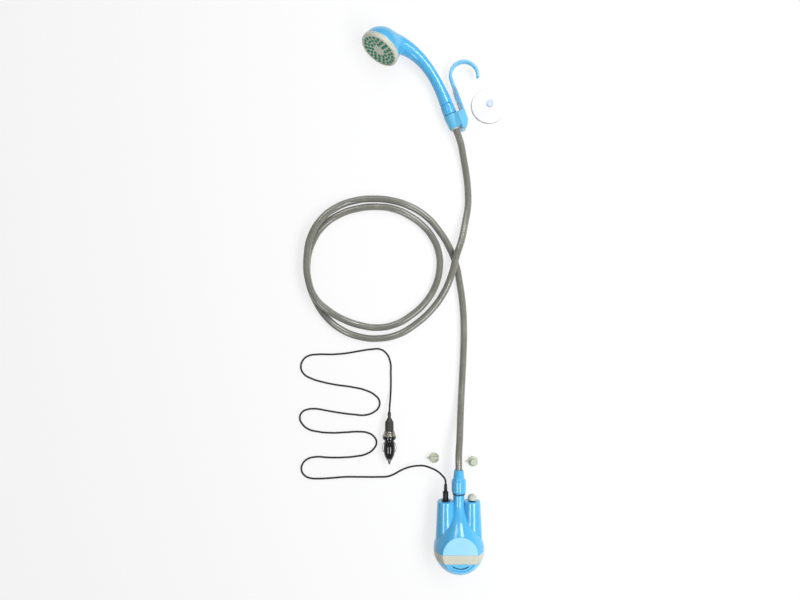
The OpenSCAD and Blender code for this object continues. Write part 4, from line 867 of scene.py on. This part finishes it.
class SHOWER_OT_top(bpy.types.Operator):
    """Model the push button and the lead's plug in its socket"""

    bl_idname = "shower.top"
    bl_label = "Button and socket"

    def execute(self, context):
        foot, r = 81.9, 7.5
        spring = foot + 2.2
        turns = [radians(5 * i) for i in range(1, 18)]
        dome = [(r * cos(a), spring + r * sin(a)) for a in turns]
        skirt = [(r + 0.1, foot, 0.3), (r + 0.1, foot + 1.1, 0.3), (r - 0.1, foot + 1.4), (r, spring)]
        inner = [(0, 71.9), (3.7, 71.9), (3.7, foot + 1.5), (6.3, foot + 1.5), (6.3, foot)]
        button = shifted(turned(inner + skirt + dome + [(0, spring + r)]), TOWER_X)
        piece("button_boot", button, PUMP, "button", "soft_grey", ["power_button"])
        rim, top, end = 81.4, 96, 108
        relief = []
        for i in range(3):
            z = top + 2 + 3 * i
            relief += [(3.1 - 0.2 * i, z, 0.25), (2.3, z + 0.2)]
            relief += [(2.3, z + 0.9), (3.0 - 0.2 * i, z + 1.1, 0.25)]
        plug = [(0, rim), (5.0, rim, 0.4), (5.0, rim + 3, 0.2), (4.7, rim + 3.4), (4.7, top - 3)]
        plug += [(5.0, top - 2.6, 0.2), (5.0, top - 1, 0.9), (3.3, top, 0.3)]
        plug += relief + [(2.4, end, 0.4), (0, end)]
        plug = shifted(turned(plug, steps=SMALL_STEPS), -TOWER_X)
        piece("lead_plug", plug, PUMP, "pump", "lead_black", ["dc_plug"], finish="lead_plug")
        socket = [(4.6, 79.9), (7.7, 79.9), (7.7, rim - 0.1, 0.5), (7.2, rim + 0.15, 0.2)]
        socket += [(5.3, rim + 0.15), (4.6, rim + 0.02)]
        socket = shifted(turned(socket, closed=True, steps=SMALL_STEPS), -TOWER_X)
        piece("socket_bezel", socket, PUMP, "pump", "plug_black")
        return {"FINISHED"}


class SHOWER_OT_outlet(bpy.types.Operator):
    """Model the outlet nut and the hose sleeve"""

    bl_idname = "shower.outlet"
    bl_label = "Outlet"

    def execute(self, context):
        nut = [
            (8.3, 92.9), (10.6, 92.9, 0.5), (12.2, 95.9, 1.2), (12.2, 113.9, 0.8), (11.2, 115.9, 0.5),
            (10.1, 115.9), (10.1, 109.3), (6.6, 109.3), (6.6, 106.8), (8.3, 106.8),
        ]
        nut = turned(nut, closed=True)
        groove = [(0, 96.9), (0.5, 96.9), (1.2, 98.2), (1.2, 111.6), (0.5, 112.9), (0, 112.9)]
        grooves = round_axis(lambda: turned(groove, steps=GROOVE_STEPS), 14, 12.9)
        nut = carved(nut, *grooves)
        piece("nut_grip", nut, PUMP, "outlet_coupling", "blue_shell", ["outlet_nut"])
        gasket = turned([(8.15, 91.05), (10.8, 91.05, 0.4), (10.8, 92.7, 0.4), (8.15, 92.7)], closed=True)
        piece("gasket_ring", gasket, PUMP, "pump", "seal_black", ["outlet_gasket"])
        sleeve = [(6.05, 109.6), (9.8, 109.6), (9.8, 116.9, 1.5), (7.9, 132.6, 0.7), (6.05, 132.6, 0.2)]
        sleeve = turned(sleeve, closed=True)
        piece("sleeve_skin", sleeve, PUMP, "pump", "blue_shell", ["hose_sleeve"])
        return {"FINISHED"}


class SHOWER_OT_handset(bpy.types.Operator):
    """Model the hand shower with its bezel and nut"""

    bl_idname = "shower.handset"
    bl_label = "Hand shower"

    def execute(self, context):
        self.handle()
        bezel = [
            (31.0, -1.3), (31.0, 0.0, 0.4), (33.3, 0.0, 0.9), (34.5, -1.8, 1.0), (34.5, -8.4, 0.5),
            (34.0, -9.0), (31.9, -9.0), (31.9, -1.3),
        ]
        bezel = turned(bezel, closed=True, steps=WIDE_STEPS)
        piece("bezel_ring", bezel, HEAD, "hand_shower", "band_grey", ["head_bezel"])
        self.nozzles()
        nut = [
            (8.6, -1.6), (11.5, -1.6, 0.5), (11.5, -19.2, 0.9), (6.9, -19.2, 0.3), (6.9, -13.5),
            (8.6, -13.5),
        ]
        nut = turned(nut, closed=True)
        groove = [(0, -17), (0.4, -17), (1.0, -16), (1.0, -4), (0.4, -3), (0, -3)]
        grooves = round_axis(lambda: turned(groove, steps=GROOVE_STEPS), 18, 12.2)
        nut = carved(nut, *grooves)
        piece("foot_nut_skin", nut, HANDSET, "hand_shower", "blue_shell", ["foot_nut"])
        return {"FINISHED"}

    def nozzles(self):
        """Rubber sheet with its nozzles in three rings, each with a fine hole."""
        plate, sheet_top, sheet_foot, tip = -1.35, -3.6, -4.9, -0.15
        first_ring, ring_step, nozzle_steps = 13.5, 6.7, 12
        nozzle = [(2.1, sheet_top - 0.1), (2.1, plate + 0.1), (2.75, plate + 0.2), (2.4, tip)]
        nozzle += [(0.8, tip), (0.6, tip - 0.8), (0, tip - 0.8)]
        whole = [rod(31.3, sheet_foot, sheet_top, SMALL_STEPS)]
        for row in range(3):
            out = first_ring + ring_step * row
            whole += round_axis(lambda: turned(nozzle, steps=nozzle_steps), 10 + 5 * row, out, row / 2)
        piece("nozzle_tips", gathered(*whole), HEAD, "hand_shower", "nozzle_teal", ["nozzle_sheet"])

    def handle(self):
        bends = [Vector(p) for p in ((0, 0), (0, 50), (-7, 98), (-(HEAD_OUT - 33), HEAD_UP + 6))]

        def middle(t):
            return (
                (1 - t) ** 3 * bends[0] + 3 * t * (1 - t) ** 2 * bends[1]
                + 3 * t * t * (1 - t) * bends[2] + t**3 * bends[3]
            )

        def radius(t):
            return (1 - t) ** 2 * 11.5 + 2 * t * (1 - t) * 6.3 + t * t * 16

        places = []
        count, sides = 60, SMALL_STEPS
        for i in range(count + 1):
            t = i / count
            at, way = middle(t), middle(t + 0.001) - middle(t - 0.001)
            turn = turn_by(atan2(way.x, way.y), "Y")
            places.append(shift_by(at.x, 0, at.y) @ turn @ Matrix.Scale(radius(t), 4))
        ring = [(cos(a), sin(a), 0) for a in (tau * k / sides for k in range(sides))]
        handle = swept(places, ring)
        to_head = shift_by(-HEAD_OUT, 0, HEAD_UP) @ turn_by(-HEAD_TILT, "Y")
        back, dome_h = -(BEZEL_H + 0.2), 32
        dome_r = ((HEAD_R - 0.5) ** 2 + dome_h**2) / (2 * dome_h)
        dome_mid = to_head @ Vector((0, 0, back - dome_h + dome_r))
        fairing = hulled(gathered(ball_at(dome_mid, dome_r), ball_at((bends[3].x, 0, bends[3].y), radius(1))))
        before = moved(rod(2 * HEAD_R, back, 3 * HEAD_R), to_head)
        stem = carved(gathered(handle, fairing), before)
        rim = moved(rod(HEAD_R - 0.6, back - 1, back + 3, ROUND_STEPS), to_head)

        def remesh(stock):
            step = stock.modifiers.new("one skin", "REMESH")
            step.mode = "VOXEL"
            step.voxel_size = 0.75
            step.use_smooth_shade = True

        skin = worked(gathered(stem, rim, rod(8.2, -9, 2, SMALL_STEPS)), remesh)
        smoothings, soft_crease = 36, radians(60)
        for _ in range(smoothings):
            bmesh.ops.smooth_vert(
                skin, verts=skin.verts[:], factor=0.5, use_axis_x=True, use_axis_y=True, use_axis_z=True
            )
        piece("handset_skin", skin, HANDSET, "hand_shower", "blue_shell", ["handset"], crease=soft_crease)


class SHOWER_OT_holder(bpy.types.Operator):
    """Model the hook holder"""

    bl_idname = "shower.holder"
    bl_label = "Hook holder"

    def execute(self, context):
        top, foot, block_foot, half = -20.3, -44.3, -50.8, 15
        inner, out, arm_w = 20, 24, 9
        seat = [7.76, 9.83]
        collar = turned([(0, foot), (seat[0] + 2.4, foot, 0.6), (seat[1] + 2.4, top, 0.6), (0, top)])
        block = [(9, top), (out, top), (out, block_foot + 12), (out - 6.5, block_foot), (9, block_foot)]
        block = rounded(slab(block, 2 * half), is_sharp, 1.8, 4)
        shoulder = brick((10, 0.15 - half, foot + 0.3), (out - 6, half - 0.15, top - 0.3))
        round_side = shifted(rod(9.8, foot + 0.3, top - 0.3, ROUND_STEPS), 2.2)
        flank = hulled(gathered(round_side, rounded(shoulder, is_sharp, 1.5, 4)))
        plate = slab([(inner, top - 1), (out, top - 1), (out, 32), (inner, 32)], 2 * half)
        arm = arm_w / 2
        shape = [(-half, top - 2), (half, top - 2), (half, 12), (arm, 26), (arm, 33)]
        shape += [(-arm, 33), (-arm, 26), (-half, 12)]
        turn = shift_by(22, 0, 0) @ turn_by(pi / 2, "Z")
        outline = moved(slab(shape, 12), turn)
        plate = combined("INTERSECT", plate, outline)
        rounded(plate, is_sharp, 0.9, 3)
        holder = fused(collar, flank, block, plate, self.hook(inner, arm_w))
        cone = turned([(0, foot - 1), (seat[0] - 0.09, foot - 1), (seat[1] + 0.09, top + 1), (0, top + 1)])
        slit = brick((-6.3, 0, foot - 1), (6.3, 40, top + 1))
        turn = shift_by(inner - 1, 0, 1) @ turn_by(pi / 2, "Y")
        key = moved(rod(7.6, 0, 7, SMALL_STEPS), turn)
        key_slot = brick((inner - 1, -3.5, 1), (inner + 6, 3.5, 13.6))
        holder = carved(holder, cone, slit, key, key_slot)
        piece("holder_skin", holder, HOLDER, "holder", "holder_blue", ["hook_holder"], flat_faces=True)
        return {"FINISHED"}

    def hook(self, inner, width):
        """Bar that rises from the plate and bends over, thinner towards its rounded tip."""
        up, radius, thick, sweep, thinner = 36, 23.5, 6, 207, 0.14
        middle = inner + thick / 2 + radius
        stops = [(inner + 3, z, 0.0, 1.0) for z in (18, 21, 24, 27, 30, 33)]
        for i in range(41):
            a = radians(sweep * i / 40)
            stops.append((middle - radius * cos(a), up + radius * sin(a), a, 1 - thinner * i / 40))
        end_x, end_z, tip, end_scale = stops[-1]
        for k in range(1, 7):
            grow = sin(k / 6 * pi / 2)
            ahead = 2.6 * grow
            scale = end_scale * sqrt(max(0.02, 1 - grow**2))
            stops.append((end_x + ahead * sin(tip), end_z + ahead * cos(tip), tip, scale))
        places = []
        for x, z, a, scale in stops:
            place = shift_by(x, 0, z) @ turn_by(a, "Y")
            places.append(place @ Matrix.Diagonal((scale, scale, 1, 1)))
        corner = 1.8
        profile = []
        for k in range(4):
            cx = (thick / 2 - corner) * (1 if k in (0, 3) else -1)
            cy = (width / 2 - corner) * (1 if k in (0, 1) else -1)
            for j in range(6):
                a = pi / 2 * (k + j / 5)
                profile.append((cx + corner * cos(a), cy + corner * sin(a), 0))
        return swept(places, profile)


class SHOWER_OT_cup(bpy.types.Operator):
    """Model the suction cup"""

    bl_idname = "shower.cup"
    bl_label = "Suction cup"

    def execute(self, context):
        cup = [
            (0, 3.6), (18.6, 2.2, 8), (28, 0.0, 0.5), (31, 0, 0.3), (31, 1.2, 0.5), (24.8, 4.5, 6),
            (13.9, 7.7, 6), (5.2, 9, 1.5), (3.2, 10, 1.2), (3.2, 14, 0.6), (6, 14.4, 0.4), (7, 15.4, 0.5),
            (7, 19.9, 0.8), (5, 21.5, 1.0), (0, 22.1),
        ]
        cup = turned(cup, steps=WIDE_STEPS)
        piece("cup_skin", shifted(cup, 55, 760), FLOOR, "pump", "cup_clear", ["suction_cup"])
        return {"FINISHED"}


class SHOWER_OT_port_plugs(bpy.types.Operator):
    """Model the two loose rubber port plugs"""

    bl_idname = "shower.port_plugs"
    bl_label = "Port plugs"

    def execute(self, context):
        upright = shift_by(-0.0405, 0.147, 0)
        piece("port_left_skin", self.plug(), upright, "pump", "soft_grey", ["port_plug_left"])
        over = shift_by(0.027, 0.140, 0.012) @ turn_by(pi, "X")
        piece("port_right_skin", self.plug(), over, "pump", "soft_grey", ["port_plug_right"])
        return {"FINISHED"}

    def plug(self):
        plug = [
            (0, -0.1), (3.4, 0, 0.8), (4.8, 0.4, 0.5), (5.2, 1.4, 0.5), (5.2, 5.9, 0.3), (8.2, 6, 0.3),
            (9, 6.8, 0.4), (9, 8.2, 0.4), (8.2, 9, 0.4), (0, 9),
        ]
        plug = turned(plug, steps=SMALL_STEPS)
        ridge = brick((-7, -1.9, 6), (7, 1.9, 12))
        rounded(ridge, is_sharp, 0.8, 4)
        tab = slab([(-7, -3.5), (-12, -1.5), (-13.5, 0), (-12, 1.5), (-7, 3.5)], 1.6)
        moved(tab, shift_by(0, 0, 7.5) @ turn_by(pi / 2, "X"))
        rounded(tab, is_sharp, 0.4, 3)
        dish = turned([(0, 6.6), (6.2, 6.6), (7.4, 9.2), (0, 9.2)], steps=48)
        plug = carved(plug, dish)
        return fused(plug, ridge, tab)


class SHOWER_OT_car_plug(bpy.types.Operator):
    """Model the car plug's grip, ring and body"""

    bl_idname = "shower.car_plug"
    bl_label = "Car plug"

    def execute(self, context):
        ring_top, grip_top, end = 58, 80, 91
        grip = [
            (0, ring_top), (7.5, ring_top, 0.4), (7.4, grip_top - 7, 1.5), (3.4, grip_top, 1.0),
            (2.5, grip_top + 1.5, 0.4), (3.1, end - 5, 0.6), (2.7, end - 1, 0.4), (2.0, end, 0.2),
            (0, end),
        ]
        grip = turned(grip, steps=SMALL_STEPS)
        ribs = []
        for side in (-1, 1):
            for i in range(5):
                z = ring_top + 4 + 3 * i
                ribs.append(brick((-4.4, side * 7.9 - 0.9, z), (4.4, side * 7.9 + 0.9, z + 1.2)))
        grip = carved(grip, *ribs)
        piece("car_grip_skin", grip, CAR, "pump", "grip_grey", ["car_plug_grip"])
        ring = [
            (3.1, 49.5), (11.4, 49.5, 0.3), (11.2, 51.2, 0.4), (9.7, 52.6, 0.4), (9.9, 53.6, 0.4),
            (9.5, 55.6, 0.4), (8.5, ring_top, 0.4), (3.1, ring_top),
        ]
        ring = turned(ring, closed=True)
        piece("car_ring_skin", ring, CAR, "pump", "bright_metal", ["car_plug_ring"])
        foot, top = 11, 49.5
        body = [
            (4.7, foot), (6.2, foot, 0.3), (8.0, foot + 3.4, 2.0), (9.4, foot + 8.5, 3.0),
            (9.9, foot + 15, 3.0), (9.6, top - 15, 3.0), (8.2, top - 9.6, 1.5), (8.4, top - 7.6, 0.8),
            (11.4, top - 5.4, 0.8), (11.7, top - 2, 0.8), (11.4, top, 0.3), (4.7, top),
        ]
        body = turned(body, closed=True)
        slots = round_axis(lambda: brick((5.4, -2.5, 18), (17, 2.5, 41)), 2)
        body = carved(body, *slots)
        piece("car_body_skin", body, CAR, "pump", "plug_black", ["car_plug_body"])
        nose = [(3.7, 8), (5.0, 8, 0.3), (6.2, foot, 0.3), (4.7, foot), (4.7, 10.2), (3.7, 10.2)]
        nose = turned(nose, closed=True, steps=SMALL_STEPS)
        piece("car_nose_skin", nose, CAR, "pump", "bright_metal", ["car_plug_nose"])
        tip = [(0, 0), (0.9, 0.0, 0.4), (1.5, 1.0, 0.5), (3.3, 6.5, 0.6)]
        tip += [(3.4, 10.5), (4.4, 10.5), (4.4, 12.5), (0, 12.5)]
        piece("car_tip_skin", turned(tip, steps=SMALL_STEPS), CAR, "tip", "bright_metal", ["car_plug_tip"])
        return {"FINISHED"}


class SHOWER_OT_works(bpy.types.Operator):
    """Give every solid that stays its finish"""

    bl_idname = "shower.works"
    bl_label = "Works"

    def execute(self, context):
        for part in frame["record"]["subparts"]:
            node = frame["nodes"][part["node"]]
            node.data.materials.clear()
            slot = part["material_slot"]
            wire = part["node"] == "pump_wires"
            node.data.materials.append(FINISHES["lead_plug" if wire else slot])
            for face in node.data.polygons:
                face.material_index = 0
        return {"FINISHED"}


PIECE_ORDER = (
    "stage", "hose", "car_plug", "cable", "shell", "front", "top", "outlet", "handset", "holder", "cup",
    "port_plugs", "works",
)


class SHOWER_PT_panel(bpy.types.Panel):
    """Sidebar panel of the camp shower"""

    bl_idname = "SHOWER_PT_panel"
    bl_label = "Camp Shower"
    bl_space_type = "VIEW_3D"
    bl_region_type = "UI"
    bl_category = "Camp Shower"

    def draw(self, context):
        layout = self.layout
        for group in (context.scene.shower_sizes, context.scene.shower_colours):
            for key in group.__annotations__:
                layout.prop(group, key)
        for name in PIECE_ORDER:
            layout.operator(f"shower.{name}")


CLASSES = (
    ShowerColours, ShowerSizes, SHOWER_OT_stage, SHOWER_OT_hose, SHOWER_OT_cable, SHOWER_OT_shell,
    SHOWER_OT_front, SHOWER_OT_top, SHOWER_OT_outlet, SHOWER_OT_handset, SHOWER_OT_holder, SHOWER_OT_cup,
    SHOWER_OT_port_plugs, SHOWER_OT_car_plug, SHOWER_OT_works, SHOWER_PT_panel,
)


def register():
    for cls in CLASSES:
        bpy.utils.register_class(cls)
    bpy.types.Scene.shower_colours = bpy.props.PointerProperty(type=ShowerColours)
    bpy.types.Scene.shower_sizes = bpy.props.PointerProperty(type=ShowerSizes)


def unregister():
    del bpy.types.Scene.shower_sizes
    del bpy.types.Scene.shower_colours
    for cls in reversed(CLASSES):
        bpy.utils.unregister_class(cls)


def main():
    register()
    for name in PIECE_ORDER:
        getattr(bpy.ops.shower, name)()


if __name__ == "__main__":
    main()
